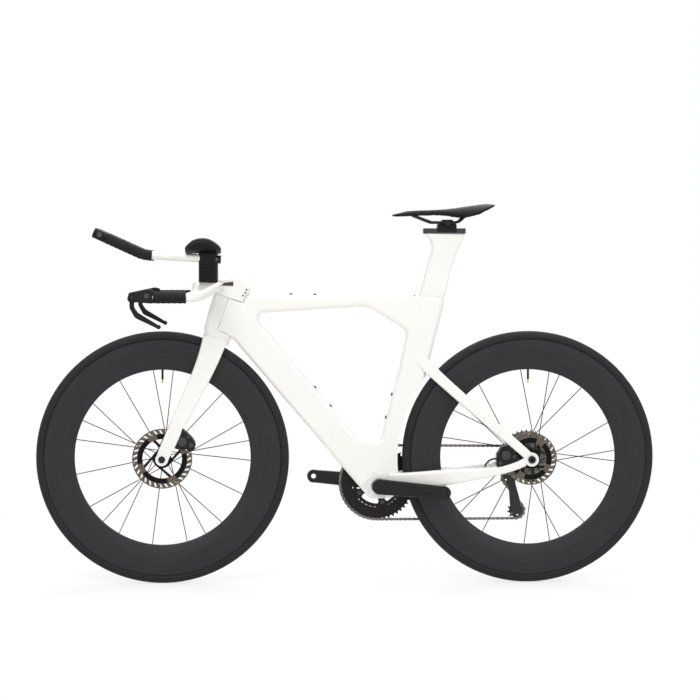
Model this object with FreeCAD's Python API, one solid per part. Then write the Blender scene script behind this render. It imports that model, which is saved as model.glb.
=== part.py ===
import FreeCAD, Part
import math
import os

# Time trial bicycle, in millimetres. +X points to the rear, +Y to the rider's right, +Z up.
# The origin lies on the ground, midway between the two axles.

V = FreeCAD.Vector
os.makedirs("parts", exist_ok=True)

# Driving dimensions: wheels
wheelbase = 982.0
tyre_radius = 339.0
tyre_width = 28.0
tyre_wall = 2.6
rim_edge_radius = 316.0
rim_bed_radius = 308.0
rim_inner_radius = 235.5
rim_width = 28.0
rim_hook = 3.0
rim_wall = 2.0
spokes_per_side = 10
spoke_width = 2.2
spoke_thickness = 1.0
valve_radius = 3.0
valve_reach = 36.0
axle_radius = 6.0
front_hub_width = 100.0
rear_hub_width = 142.0
front_rotor_radius = 80.0
rear_rotor_radius = 70.0
rotor_thickness = 1.8
front_rotor_y = -35.5
rear_rotor_y = -56.5
rotor_bore = 17.0

# Driving dimensions: frame and steering
head_angle = 70.5
fork_rake = 45.7
head_nose_radius = 29.0
head_length = 91.5
frame_half_width = 21.0
frame_rounding = 13.0
bottom_bracket_drop = 74.0
chainstay_length = 410.0
shell_half_width = 43.0
shell_radius = 33.0
cup_radius = 20.5
seat_angle = 75.3
post_depth = 66.0
post_width = 25.0
post_insertion = 108.0
steerer_radius = 14.3
tyre_room = 14.0
stay_room = 19.0

# Driving dimensions: drive
chain_pitch = 12.7
outer_ring_teeth = 50
inner_ring_teeth = 34
sprockets = [11, 12, 13, 14, 15, 17, 19, 21, 24, 27, 30, 34]
sprocket_pitch = 3.5
tooth_thickness = 1.4
outer_ring_y = 48.0
inner_ring_y = 41.5
first_sprocket_y = 64.0
pulley_teeth = 11
pulley_spacing = 93.0
crank_length = 172.5
crank_angle = -5.1
spindle_radius = 12.0
pedal_bore = 6.7
bolt_circle_radius = 55.0

# Driving dimensions: cockpit and seat
bar_half_width = 185.0
grip_tube_radius = 11.0
tape_thickness = 4.8
extension_half_gap = 55.0
extension_radius = 11.0
extension_tape_thickness = 3.0
riser_spacers = 5
saddle_length = 277.0
rail_gap = 44.0
rail_radius = 3.5

# Clearances: running fits, sliding fits and free gaps
running = 0.06
seat_gap = 0.05
slide_gap = 0.3
free_gap = 1.0

# Places that follow from the driving dimensions
axle_height = tyre_radius
front_axle_x = -wheelbase / 2
rear_axle_x = wheelbase / 2
crank_height = axle_height - bottom_bracket_drop
crank_x = rear_axle_x - math.sqrt(chainstay_length**2 - bottom_bracket_drop**2)
front_drop = front_hub_width / 2
rear_drop = rear_hub_width / 2
UP = V(0, 0, 1)
RIGHT = V(0, 1, 0)

steer = V(math.cos(math.radians(head_angle)), 0, math.sin(math.radians(head_angle)))
steer_back = V(steer.z, 0, -steer.x)
head_height = 717.4
head_x = front_axle_x + (fork_rake + (head_height - axle_height) * steer.x) / steer.z
head = V(head_x, 0, head_height)
seat_line = V(math.cos(math.radians(seat_angle)), 0, math.sin(math.radians(seat_angle)))


def save(name, *shapes):
    """Write the solids of one node to its STEP file."""
    solids = []
    for shape in shapes:
        solids.extend(shape.Solids)
    bad = [s for s in solids if not s.isValid() or s.Volume <= 0]
    node = solids[0] if len(solids) == 1 else Part.makeCompound(solids)
    node.exportStep(f"parts/{name}.step")
    print(name, len(solids), "solids", round(node.Volume), "mm3", "BAD" if bad else "")


def both_sides(shape):
    """A left piece together with its mirror image on the right."""
    return [shape, mirrored(shape)]


def mirrored(shape):
    return shape.mirror(V(0, 0, 0), RIGHT)


def moved(shape, x, y, z):
    copy = shape.copy()
    copy.translate(V(x, y, z))
    return copy


def on_side(y):
    """Places a point (x, z) in the upright plane at y."""
    return lambda p: V(p[0], y, p[1])


def on_axle(p):
    """Places a point (radius, y) for turning about the Y axis."""
    return V(p[0], p[1], 0)


def across_steering(along):
    """Places a point (backwards from the steering axis, y) square to that axis."""
    return lambda p: head + steer * along + steer_back * p[0] + RIGHT * p[1]


def steering_point(back, along):
    """The (x, z) of a point given by its place beside and along the steering axis."""
    point = head + steer * along + steer_back * back
    return (point.x, point.z)


def outline(place, start, *steps):
    """Closed wire of lines, and of arcs where a step is a middle and an end point."""
    edges = []
    here = start
    for step in steps:
        if isinstance(step[0], tuple):
            middle, there = step
            edges.append(Part.Arc(place(here), place(middle), place(there)).toShape())
        else:
            there = step
            edges.append(Part.LineSegment(place(here), place(there)).toShape())
        here = there
    if math.dist(here, start) > 1e-6:
        edges.append(Part.LineSegment(place(here), place(start)).toShape())
    return Part.Wire(edges)


def rounded(points, radii):
    """Start and steps of a closed outline whose corners are tangent arcs."""
    count = len(points)
    if not isinstance(radii, (list, tuple)):
        radii = [radii] * count
    corners = []
    for i, point in enumerate(points):
        corner = V(point[0], point[1], 0)
        back = V(*points[i - 1], 0) - corner
        ahead = V(*points[(i + 1) % count], 0) - corner
        back.normalize()
        ahead.normalize()
        half = back.getAngle(ahead) / 2
        inward = back + ahead
        inward.normalize()
        reach = radii[i] / math.tan(half)
        middle = corner + inward * (radii[i] / math.sin(half) - radii[i])
        ends = (corner + back * reach, middle, corner + ahead * reach)
        corners.append([(p.x, p.y) for p in ends])
    steps = []
    for entry, middle, leave in corners[1:] + corners[:1]:
        steps.append(entry)
        if math.dist(entry, leave) > 1e-6:
            steps.append((middle, leave))
    return [corners[0][2]] + steps


def slab(points, radii, low, high):
    """Upright plate: a rounded outline of (x, z) points, from y = low to y = high."""
    wire = outline(on_side(low), *rounded(points, radii))
    return Part.Face(wire).extrude(RIGHT * (high - low))


def turned(x, z, start, *steps):
    """Solid turned about the Y direction through (x, z) from a profile of (radius, y)."""
    face = Part.Face(outline(on_axle, start, *steps))
    return moved(face.revolve(V(0, 0, 0), RIGHT, 360), x, 0, z)


def disc(x, z, radius, low, high):
    return Part.makeCylinder(radius, high - low, V(x, low, z), RIGHT)


def rod(a, b, radius):
    return Part.makeCylinder(radius, (b - a).Length, a, b - a)


def block(x0, x1, y0, y1, z0, z1):
    return Part.makeBox(x1 - x0, y1 - y0, z1 - z0, V(x0, y0, z0))


def steering_rod(radius, low, high):
    return rod(head + steer * low, head + steer * high, radius)


def joined(first, *others):
    return first.multiFuse(list(others)).removeSplitter()


def bent_path(points, radius):
    """Straight runs joined by tangent arcs of one radius."""
    edges = []
    here = points[0]
    for before, corner, after in zip(points, points[1:], points[2:]):
        back = (before - corner).normalize()
        ahead = (after - corner).normalize()
        half = back.getAngle(ahead) / 2
        reach = radius / math.tan(half)
        inward = (back + ahead).normalize()
        entry = corner + back * reach
        leave = corner + ahead * reach
        middle = corner + inward * (radius / math.sin(half) - radius)
        edges.append(Part.LineSegment(here, entry).toShape())
        edges.append(Part.Arc(entry, middle, leave).toShape())
        here = leave
    edges.append(Part.LineSegment(here, points[-1]).toShape())
    return Part.Wire(edges)


def bent_rod(points, bend, radius):
    path = bent_path(points, bend)
    start = Part.Wire(Part.makeCircle(radius, points[0], points[1] - points[0]))
    return path.makePipeShell([start], True, True)


def tube_section(front, rear, y, width, tail, nose_round, tail_round):
    """Aero section in a plane that holds Y: from its front to its rear (x, z) point."""
    run = V(rear[0] - front[0], 0, rear[1] - front[1])
    depth = run.Length
    run.normalize()
    points = [(0, -width / 2), (depth, -tail / 2), (depth, tail / 2), (0, width / 2)]
    corner = V(front[0], y, front[1])
    place = lambda p: corner + run * p[0] + RIGHT * p[1]
    return outline(place, *rounded(points, [nose_round, tail_round, tail_round, nose_round]))


def upright_section(x, y, low, high, width, rounding):
    return tube_section((x, low), (x, high), y, width, width, rounding, rounding)


def loft(sections, ruled=False):
    return Part.makeLoft(sections, True, ruled)


# Wheels
def make_tyre(x):
    centre = tyre_radius - tyre_width / 2
    half = tyre_width / 2
    bead = rim_width / 2 - rim_hook - seat_gap
    foot = rim_bed_radius + seat_gap
    flank = centre - math.sqrt(half**2 - bead**2)
    hollow = half - tyre_wall
    inner = bead - tyre_wall
    inner_flank = centre - math.sqrt(hollow**2 - inner**2)
    return turned(
        x, axle_height,
        (foot, -bead), (flank, -bead),
        ((centre, -half), (centre + half, 0)), ((centre, half), (flank, bead)),
        (foot, bead), (foot, inner), (inner_flank, inner),
        ((centre, hollow), (centre + hollow, 0)), ((centre, -hollow), (inner_flank, -inner)),
        (foot, -inner),
    )


def make_rim(x):
    half = rim_width / 2
    belly = half + 0.5
    shoulder = rim_edge_radius - 20
    nose = 6.0
    nose_centre = rim_inner_radius + nose
    waist = ((shoulder + nose_centre) / 2, (belly + nose) / 2 + 2)
    channel = half - rim_hook
    skin = turned(
        x, axle_height,
        (rim_edge_radius, half), (shoulder, belly), (waist, (nose_centre, nose)),
        ((rim_inner_radius, 0), (nose_centre, -nose)),
        ((waist[0], -waist[1]), (shoulder, -belly)), (rim_edge_radius, -half),
        (rim_edge_radius, -channel), (rim_bed_radius, -channel),
        (rim_bed_radius, channel), (rim_edge_radius, channel),
    )
    top = rim_bed_radius - rim_wall
    tip = nose - rim_wall
    hollow_waist = (waist[0], waist[1] - rim_wall)
    cavity = turned(
        x, axle_height,
        (top, channel), (shoulder, belly - rim_wall), (hollow_waist, (nose_centre, tip)),
        ((nose_centre - tip, 0), (nose_centre, -tip)),
        ((waist[0], rim_wall - waist[1]), (shoulder, rim_wall - belly)), (top, -channel),
    )
    hole = rod(V(x, 0, axle_height + rim_inner_radius - 5),
               V(x, 0, axle_height + rim_edge_radius), valve_radius + slide_gap)
    return skin.cut(cavity).cut(hole)


def make_spoke(x, flange_radius, flange_y, rim_y, angle, lean):
    """Bladed spoke that meets the rim at an angle and leans past the hub centre by an offset."""
    out = V(math.cos(angle), 0, math.sin(angle))
    side = V(-out.z, 0, out.x)
    reach = math.sqrt((flange_radius + slide_gap) ** 2 - lean**2)
    far = math.sqrt((rim_inner_radius - slide_gap) ** 2 - lean**2)
    hub_end = out * reach + side * lean + RIGHT * flange_y
    rim_end = out * far + side * lean + RIGHT * rim_y
    run = rim_end - hub_end
    wide = run.cross(RIGHT).normalize() * (spoke_width / 2)
    thick = run.cross(wide).normalize() * (spoke_thickness / 2)
    corners = [wide + thick, thick - wide, -wide - thick, wide - thick]
    loop = [hub_end + c for c in corners]
    blade = Part.Face(Part.makePolygon(loop + loop[:1])).extrude(run)
    return moved(blade, x, 0, axle_height)


def make_spokes(x, hub, left, right, first_angle):
    """Two sets of spokes; left and right are (flange radius, flange y, lean)."""
    pieces = []
    step = 2 * math.pi / spokes_per_side
    for offset, (flange_radius, flange_y, lean) in ((0.5, left), (0.0, right)):
        for i in range(spokes_per_side):
            angle = math.radians(first_angle) + step * (i + offset)
            way = 1 if i % 2 else -1
            shift = 1.3 * way if lean else 0
            rim_y = math.copysign(1.5, flange_y)
            blade = make_spoke(x, flange_radius, flange_y + shift, rim_y, angle, lean * way)
            pieces.append(max(blade.cut(hub).Solids, key=lambda part: part.Volume))
    return pieces


def make_valve(x):
    base = V(x, 0, axle_height)
    tip = rim_inner_radius - valve_reach
    stem = rod(base + UP * (tip + 10), base + UP * (rim_bed_radius + 2), valve_radius)
    return joined(stem, rod(base + UP * tip, base + UP * (tip + 10), valve_radius - 1))


def make_rotor(x, radius, y, slots):
    """Brake disc: slotted track, five swept arms and a centre ring."""
    place = lambda p: V(
        x + p[0] * math.cos(p[1]), y - rotor_thickness / 2, axle_height + p[0] * math.sin(p[1]))
    wires = [
        Part.Wire(Part.makeCircle(r, V(x, y - rotor_thickness / 2, axle_height), RIGHT))
        for r in (radius, rotor_bore)]
    track = radius - 14.0
    core = 25.0
    arms = 5
    sweep = math.radians(18)
    for i in range(arms):
        start = 2 * math.pi * i / arms
        span = 2 * math.pi / arms
        low = (start + 0.30, start + span - 0.30)
        high = (start + sweep + 0.10, start + sweep + span - 0.10)
        wires.append(outline(
            place, (core, low[0]), ((core, sum(low) / 2), (core, low[1])),
            (track, high[1]), ((track, sum(high) / 2), (track, high[0]))))
    for i in range(slots):
        start = 2 * math.pi * i / slots
        wide = 3.4 / radius
        lean = 0.06
        wires.append(outline(
            place, (radius - 11, start), (radius - 11, start + wide),
            (radius - 3, start + wide + lean), (radius - 3, start + lean)))
    face = Part.makeFace(wires, "Part::FaceMakerBullseye")
    return face.extrude(RIGHT * rotor_thickness)


hub_bore = axle_radius + running
rotor_seat = rotor_bore - seat_gap
rotor_half = rotor_thickness / 2 + seat_gap
front_flanges = ((23.0, -25.5), (19.0, 34.5))
rear_flanges = ((23.0, -38.0), (27.0, 17.5))
flange_half = 2.6


def rotor_mount(end, y):
    """Left end of a hub profile: end cap, lock ring, rotor seat and its shoulder."""
    return [
        (hub_bore, -end), (9, -end), (9, y - 7), (20, y - 7), (20, y - rotor_half),
        (rotor_seat, y - rotor_half), (rotor_seat, y + rotor_half), (20, y + rotor_half),
        (19, y + 4)]


def flange_steps(radius, y, root):
    return [(root, y - flange_half - 2), (radius, y - flange_half),
            (radius, y + flange_half), (root, y + flange_half + 2)]


front_hub_end = front_drop - slide_gap
rear_hub_end = rear_drop - slide_gap
freehub_start = rear_flanges[1][1] + flange_half + 2.5
front_hub = turned(
    front_axle_x, axle_height, *rotor_mount(front_hub_end, front_rotor_y),
    *flange_steps(*front_flanges[0], 13), (10, 4), *flange_steps(*front_flanges[1], 11),
    (9, front_hub_end - 8), (9, front_hub_end), (hub_bore, front_hub_end))
rear_hub = turned(
    rear_axle_x, axle_height, *rotor_mount(rear_hub_end, rear_rotor_y),
    *flange_steps(*rear_flanges[0], 13), (11, -10), *flange_steps(*rear_flanges[1], 14),
    (14, freehub_start), (hub_bore, freehub_start))

save("front_hub", front_hub)
save("front_rim", make_rim(front_axle_x))
save("front_tyre", make_tyre(front_axle_x))
save("front_spokes", make_valve(front_axle_x),
     *make_spokes(front_axle_x, front_hub, (*front_flanges[0], 20.5), (*front_flanges[1], 0), 11))
save("front_rotor", make_rotor(front_axle_x, front_rotor_radius, front_rotor_y, 30))
save("rear_hub", rear_hub)
save("rear_rim", make_rim(rear_axle_x))
save("rear_tyre", make_tyre(rear_axle_x))
save("rear_spokes", make_valve(rear_axle_x),
     *make_spokes(rear_axle_x, rear_hub, (*rear_flanges[0], 20.5), (*rear_flanges[1], 25.0), 10))
save("rear_rotor", make_rotor(rear_axle_x, rear_rotor_radius, rear_rotor_y, 26))

# Frame: front triangle as one rounded panel
top_front = 777.5
top_rear = 769.8
crown_along = -46.0
head_top = crown_along + head_length
wheel_cut_radius = tyre_radius + tyre_room
turning_radius = head_nose_radius + free_gap


def beside_steering(x0, x1, half, low, high):
    """Box square to the steering axis, from x0 to x1 behind it."""
    corners = [(x0, -half), (x1, -half), (x1, half), (x0, half)]
    face = Part.Face(outline(across_steering(low), corners[0], *corners[1:]))
    return face.extrude(steer * (high - low))


crown_room = 22.0
down_tube_slope = -1.1764


def under_down_tube(x):
    return (x, 316.2 + down_tube_slope * (x + 11.6))


panel_points = [
    (267.7, top_rear), (131.0, 230.0), under_down_tube(65.1), under_down_tube(-301.0),
    (-392.0, 688.0), (-380.0, top_front + 1.0)]
panel_route = rounded(panel_points, [17.0, 17.0, 34.0, 12.0, 0, 0])
window_points = [
    (-227.8, 727.1), (58.2, 744.3), (164.3, 678.5), (142.6, 575.1), (93.2, 382.5),
    (31.4, 389.8), (-234.5, 707.8)]
window_round = [7.0, 60.0, 25.0, 60.0, 14.0, 12.0, 7.0]
panel = Part.Face(outline(on_side(-frame_half_width), *panel_route))
panel = panel.extrude(RIGHT * (2 * frame_half_width))
window = slab(window_points, window_round, -frame_half_width - 1, frame_half_width + 1)
panel = panel.cut(window)


side_edges = [e for e in panel.Edges if e.BoundBox.YLength < 1e-3]
side_edges = [e for e in side_edges if e.BoundBox.XMax > -351.0]
panel = panel.makeFillet(frame_rounding, side_edges)
nose = steering_rod(head_nose_radius, crown_along, head_top)
front_room = beside_steering(-150, -10, 60, -250, 250)
crown_space = beside_steering(-150, 0, 60, -250, crown_along)
panel = panel.cut(front_room.cut(nose))
panel = panel.cut(crown_space).cut(steering_rod(crown_room, -250, crown_along))
panel = panel.cut(steering_rod(turning_radius, head_top, 250))
panel = panel.cut(disc(rear_axle_x, axle_height, wheel_cut_radius, -60, 60))

# Frame: stays, dropouts and bottom bracket shell
chainstay = loft([
    upright_section(*row) for row in (
        (115.0, -26.0, 234.0, 300.0, 20.0, 8.0), (190.0, -30.5, 250.0, 302.0, 17.0, 7.5),
        (270.0, -43.0, 267.0, 309.0, 18.0, 7.5), (350.0, -56.0, 283.5, 313.0, 17.0, 7.0),
        (415.0, -67.0, 299.0, 321.0, 13.0, 5.0), (476.0, -76.0, 322.0, 346.0, 10.0, 4.0))])


def stay_section(x, z, y, width, depth):
    """Section of a seat stay, square to its run towards the rear axle."""
    run = V(rear_axle_x - 190, 0, axle_height - 612).normalize()
    up = V(-run.z, 0, run.x) * (depth / 2)
    front = (x - up.x, z - up.z)
    rear = (x + up.x, z + up.z)
    return tube_section(front, rear, y, width, width, width * 0.42, width * 0.42)


seatstay = loft([
    stay_section(*row) for row in (
        (188.0, 614.0, -13.0, 15.0, 32.0), (236.0, 566.0, -25.5, 12.0, 30.0),
        (310.0, 499.0, -40.0, 12.0, 28.0), (406.0, 415.0, -63.0, 11.0, 26.0),
        (444.0, 382.0, -73.0, 10.0, 25.0), (480.0, 350.0, -76.0, 10.0, 24.0))])
drop_thickness = 10.0
drop_radius = 18.6
dropout = disc(rear_axle_x, axle_height, drop_radius, -rear_drop - drop_thickness, -rear_drop)
hanger_bolt = (501.0, 307.0)
hanger = slab(
    [(480.0, 335.0), (488.0, 297.0), (512.0, 297.0), (505.0, 335.0)], [4, 10, 10, 4],
    rear_drop + 2, rear_drop + drop_thickness - 2)
shell = disc(crank_x, crank_height, shell_radius, -shell_half_width, shell_half_width)
frame = joined(panel, shell, *both_sides(chainstay), *both_sides(seatstay),
               *both_sides(dropout), hanger)

# Frame: room for the wheel, axle, bearings, post and screws
axle_fit = axle_radius + seat_gap
frame = frame.cut(disc(rear_axle_x, axle_height, tyre_radius + 8, -stay_room, stay_room))
frame = frame.cut(disc(rear_axle_x, axle_height, axle_fit, -100, 100))
frame = frame.cut(rod(V(hanger_bolt[0], 60, hanger_bolt[1]),
                      V(hanger_bolt[0], 100, hanger_bolt[1]), 5.0))
frame = frame.cut(disc(crank_x, crank_height, cup_radius, -60, 60))
bearing_radius = 18.5
bearing_height = 8.0
steerer_room = steerer_radius + 1.7
frame = frame.cut(steering_rod(steerer_room, -80, 90))
frame = frame.cut(steering_rod(bearing_radius + seat_gap, -80, crown_along + bearing_height))
frame = frame.cut(steering_rod(bearing_radius + seat_gap, head_top - bearing_height, 90))

post_mid = V(231.9, 0, 776.0)
post_back = V(seat_line.z, 0, -seat_line.x)


def post_bar(grow, low, high):
    """Straight part of the post between two heights along its line, widened by a gap."""
    half = post_depth / 2 + grow
    front = post_mid + seat_line * low - post_back * half
    rear = post_mid + seat_line * low + post_back * half
    wire = tube_section((front.x, front.z), (rear.x, rear.z), 0, post_width + 2 * grow,
                        post_width * 0.6 + 2 * grow, post_width * 0.4, post_width * 0.25)
    return Part.Face(wire).extrude(seat_line * (high - low))


post_travel = 50.0
post_bottom = -post_insertion
frame = frame.cut(post_bar(slide_gap, post_bottom - post_travel - 4, 60))

wedge_height = 26.0
wedge_depth = 13.0
wedge_half = 7.0


def wedge_bar(depth, grow):
    front = post_mid - post_back * (post_depth / 2 + slide_gap)
    points = []
    for back, along in ((0, -44), (0, -44 + wedge_height), (depth, -40 + wedge_height), (depth, -48)):
        place = front + seat_line * along - post_back * back
        points.append((place.x, place.z))
    return slab(points, 0, -wedge_half - grow, wedge_half + grow)


wedge = wedge_bar(wedge_depth, 0)
frame = frame.cut(wedge_bar(wedge_depth + seat_gap, seat_gap))


def screw(place, out, radius, height, depth):
    """Button-head screw: head on the surface at a place, shank below it."""
    head_solid = rod(place, place + out * height, radius)
    return joined(head_solid, rod(place - out * depth, place, radius * 0.5))


def screw_hole(place, out, radius, depth):
    return rod(place - out * (depth + 0.5), place + out * 3, radius * 0.5 + seat_gap)


down_tube_out = V(-down_tube_slope, 0, 1).normalize()
seat_tube_out = V(-0.9687, 0, 0.2483)
boss_places = []
for x in (-83.0, -41.0):
    boss_places.append((V(x, 0, 707.8 + (x + 234.5) * -1.19594), down_tube_out))
for z in (508.0, 446.0):
    boss_places.append((V(93.2 + (z - 382.5) * 0.25652, 0, z), seat_tube_out))
for x in (-147.0, -82.6):
    boss_places.append((V(x, 0, top_front - (x + 279.0) * 0.0141), UP))
frame_screws = []
for place, out in boss_places:
    frame_screws.append(screw(place, out, 4.5, 3.5, 12.0))
    frame = frame.cut(screw_hole(place, out, 4.5, 12.0))
# Frame: bonded mouldings, each between joint lines that start inside the open triangle
middle = (20.0, 560.0)
tube_corners = {
    "down tube": [middle, (-234.5, 707.8), (-463.1, 513.4), (-300, 200), (-121, 260), (31.4, 389.8)],
    "shell": [middle, (31.4, 389.8), (-121, 260), (-121, 100), (205, 100), (205, 385), (93.2, 382.5)],
    "seat tube": [middle, (93.2, 382.5), (205, 385), (205, 900), (58.2, 900), (58.2, 744.3)],
    "head and top tube": [
        middle, (58.2, 744.3), (58.2, 900), (-700, 900), (-463.1, 513.4), (-234.5, 707.8)],
    "seat stays": [(205, 430), (395, 370), (470, 440), (700, 640), (700, 900), (205, 900)],
    "chain stays": [(205, 430), (205, 100), (700, 100), (700, 640), (470, 440), (395, 370)],
}
mouldings = []
for name, corners in tube_corners.items():
    mouldings += frame.common(slab(corners, 0, -200, 200)).Solids
save("frame", *mouldings)
save("frame_screws", *[piece.cut(frame) for piece in frame_screws])
save("seatpost_wedge", max(wedge.cut(frame).Solids, key=lambda x: x.Volume))
headset = []
for low in (crown_along, head_top - bearing_height):
    ring = steering_rod(bearing_radius, low, low + bearing_height)
    headset.append(ring.cut(steering_rod(steerer_radius + running, low - 1, low + 20)))
save("headset_bearings", *headset)
cup = disc(crank_x, crank_height, cup_radius - seat_gap, -shell_half_width, -shell_half_width + 10)
cup = cup.cut(disc(crank_x, crank_height, spindle_radius + running, -60, 60))
save("bottom_bracket", *both_sides(cup))
axle_head = 10.0
axle_end = rear_drop + drop_thickness
rear_axle = joined(
    disc(rear_axle_x, axle_height, axle_radius, -axle_end, axle_end),
    disc(rear_axle_x, axle_height, axle_head, -axle_end - 5, -axle_end))
socket_radius = 3.5
socket_depth = 10.0
rear_axle = rear_axle.cut(
    disc(rear_axle_x, axle_height, socket_radius, -axle_end - 6, -axle_end - 5 + socket_depth))
save("rear_axle", rear_axle)

# Fork: blade in front of the head tube, crown, legs and steerer
blade_top = head_top + 1.5
blade_half = frame_half_width


def fork_section(along, front, rear, half, nose):
    points = [(front, -half), (rear, -half), (rear, half), (front, half)]
    return outline(across_steering(along), *rounded(points, [nose, 2.0, 2.0, nose]))


crown_top = crown_along - free_gap
blade = loft([
    fork_section(blade_top, -62.0, -19.0, blade_half, 15.0),
    fork_section(0.0, -60.5, -19.0, blade_half, 15.0),
    fork_section(crown_top, -57.5, -19.0, blade_half, 15.0)])
blade = blade.cut(steering_rod(turning_radius, crown_top, 90))
crown = loft([
    fork_section(crown_top, -57.5, 6.0, blade_half, 15.0),
    fork_section(-70.0, -50.5, 6.0, 24.0, 15.0),
    fork_section(-95.0, -42.0, 6.0, 30.0, 15.0)])
crown_back = steering_rod(crown_room - 1.5, crown_top - 46, crown_top)
leg = loft([
    tube_section(front, rear, y, width, width * 0.75, width * 0.42, width * 0.3)
    for front, rear, y, width in (
        ((-382.0, 668.0), (-318.0, 652.0), -20.0, 20.0),
        ((-396.0, 612.0), (-340.0, 597.0), -30.0, 17.0),
        ((-414.7, 561.0), (-368.4, 539.2), -38.0, 14.0),
        ((-474.9, 422.9), (-439.0, 405.0), -51.0, 13.0),
        ((-504.0, 352.0), (-474.0, 337.0), -56.0, 12.0))])
fork_drop = disc(front_axle_x, axle_height, 17.0, -front_drop - 12, -front_drop)
steerer_top = 72.0
fork = joined(blade, crown, crown_back, *both_sides(leg), *both_sides(fork_drop),
              steering_rod(steerer_radius, crown_top - 40, steerer_top))
fork = fork.cut(disc(front_axle_x, axle_height, tyre_radius + 8, -stay_room, stay_room))
fork = fork.cut(disc(front_axle_x, axle_height, axle_fit, -100, 100))
save("fork", fork)
front_end_y = front_drop + 12
front_axle = joined(
    disc(front_axle_x, axle_height, axle_radius, -front_end_y, front_end_y),
    disc(front_axle_x, axle_height, axle_head - 1, -front_end_y - 3, -front_end_y))
save("front_axle", front_axle)

# Seat: post, rail, carriage, saddle rails and saddle
straight_top = 64.0
neck = post_mid + seat_line * straight_top
half_depth = post_depth / 2
neck_front = neck - post_back * half_depth
neck_rear = neck + post_back * half_depth
rail_front = 206.8
rail_rear = 320.4
rail_low = 938.5
rail_high = 953.0
rail_half = 12.0


def post_section(front, rear, width):
    return tube_section(front, rear, 0, width, width * 0.6, width * 0.4, width * 0.25)


post_neck = loft([
    post_section((neck_front.x, neck_front.z), (neck_rear.x, neck_rear.z), post_width),
    post_section((227.5, 884.0), (295.0, 880.0), post_width),
    post_section((228.5, 912.0), (309.0, 912.0), post_width),
    post_section((rail_front + 3, rail_low), (rail_rear - 1, rail_low), post_width)])
seatpost = joined(post_bar(0, post_bottom, straight_top), post_neck)
post_rail = slab(
    [(rail_front, rail_low), (rail_rear, rail_low), (rail_rear, rail_high), (rail_front, rail_high)],
    2.0, -rail_half, rail_half)
for side in (-1, 1):
    groove_y = side * rail_half
    post_rail = post_rail.cut(block(
        rail_front - 5, rail_rear + 5, groove_y - 2.0, groove_y + 2.0, rail_low + 5, rail_low + 9))
save("seatpost", seatpost, post_rail)

carriage_mid = 270.2
carriage_half = 25.5
barrel_radius = 7.5
barrel_height = 966.0
lip = rail_low + 5 + slide_gap
carriage_half_width = rail_half + 4.5
carriage = slab(
    [(carriage_mid - carriage_half, lip), (carriage_mid + carriage_half, lip),
     (carriage_mid + carriage_half, 962.0), (carriage_mid + 13, 976.0),
     (carriage_mid - 13, 976.0), (carriage_mid - carriage_half, 962.0)],
    [1.5, 1.5, 3, 4, 4, 3], -carriage_half_width, carriage_half_width)
carriage = carriage.cut(block(
    carriage_mid - 60, carriage_mid + 60, -rail_half - slide_gap, rail_half + slide_gap,
    900, rail_high + seat_gap))
for side in (-1, 1):
    inner = side * (rail_half - 2.0 + slide_gap)
    outer = side * (rail_half + 1.0)
    carriage = joined(carriage, block(
        carriage_mid - carriage_half + 2, carriage_mid + carriage_half - 2,
        min(inner, outer), max(inner, outer), lip, lip + 4 - 2 * slide_gap))
carriage = carriage.cut(disc(carriage_mid, barrel_height, barrel_radius + running, -40, 40))
save("saddle_clamp", carriage)

saddle_nose = 120.8
saddle_rows = [
    (0.0, 7.0, 988.0, 986.0, 984.0, 984.6), (0.05, 17.0, 993.0, 988.0, 983.5, 984.5),
    (0.29, 21.0, 1000.0, 993.0, 985.5, 988.5), (0.54, 34.0, 1003.5, 994.0, 984.5, 991.0),
    (0.76, 62.0, 1011.5, 989.0, 980.5, 999.0), (0.91, 69.0, 1017.0, 1003.0, 996.5, 1006.5),
    (1.0, 46.0, 1019.4, 1016.0, 1013.0, 1014.0)]


def saddle_section(share, half, top, edge, skirt, under):
    """Upright section of the saddle: crowned top, side edges and hollow underside."""
    x = saddle_nose + share * saddle_length
    place = lambda p: V(x, p[0], p[1])
    return outline(
        place, (-half, edge), ((0, top), (half, edge)), (half, skirt), ((0, under), (-half, skirt)))


saddle = loft([saddle_section(*row) for row in saddle_rows])
rail_y = rail_gap / 2
rail_height = 968.6
rail_path = [
    V(178.0, -12.0, 987.5), V(228.0, -rail_y, rail_height), V(300.0, -rail_y, rail_height),
    V(333.0, -rail_y - 6, 999.0)]
saddle_rail = bent_rod(rail_path, 22.0, rail_radius)
barrel_end = rail_y + rail_radius + 3
saddle_rails = joined(
    disc(carriage_mid, barrel_height, barrel_radius, -barrel_end, barrel_end),
    *both_sides(saddle_rail))
saddle_rails = saddle_rails.cut(saddle)
saddle_rails = Part.makeCompound([x for x in saddle_rails.Solids if x.Volume > 3000])
save("saddle_rails", saddle_rails)
save("saddle", saddle)

# Cockpit: base bar with stem, and the cover over the steerer clamp
stem_low = blade_top + seat_gap
stem_high = 58.0
stem_rear = turning_radius - 3.0
grip_start = -419.0
grip_end = -510.0
grip_height = 771.0


def wing_section(x, y, z, sweep, chord, thick):
    """Section of the base bar's left half, turned about the upright by the sweep."""
    turn = math.radians(sweep)
    back = V(math.cos(turn), -math.sin(turn), 0)
    centre = V(x, y, z)
    place = lambda p: centre + back * p[0] + UP * p[1]
    a = chord / 2
    b = thick / 2
    points = [(-a, -b), (a, -b * 0.8), (a, b * 0.8), (-a, b)]
    return outline(place, *rounded(points, [b * 0.9, b * 0.7, b * 0.7, b * 0.9]))


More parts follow.
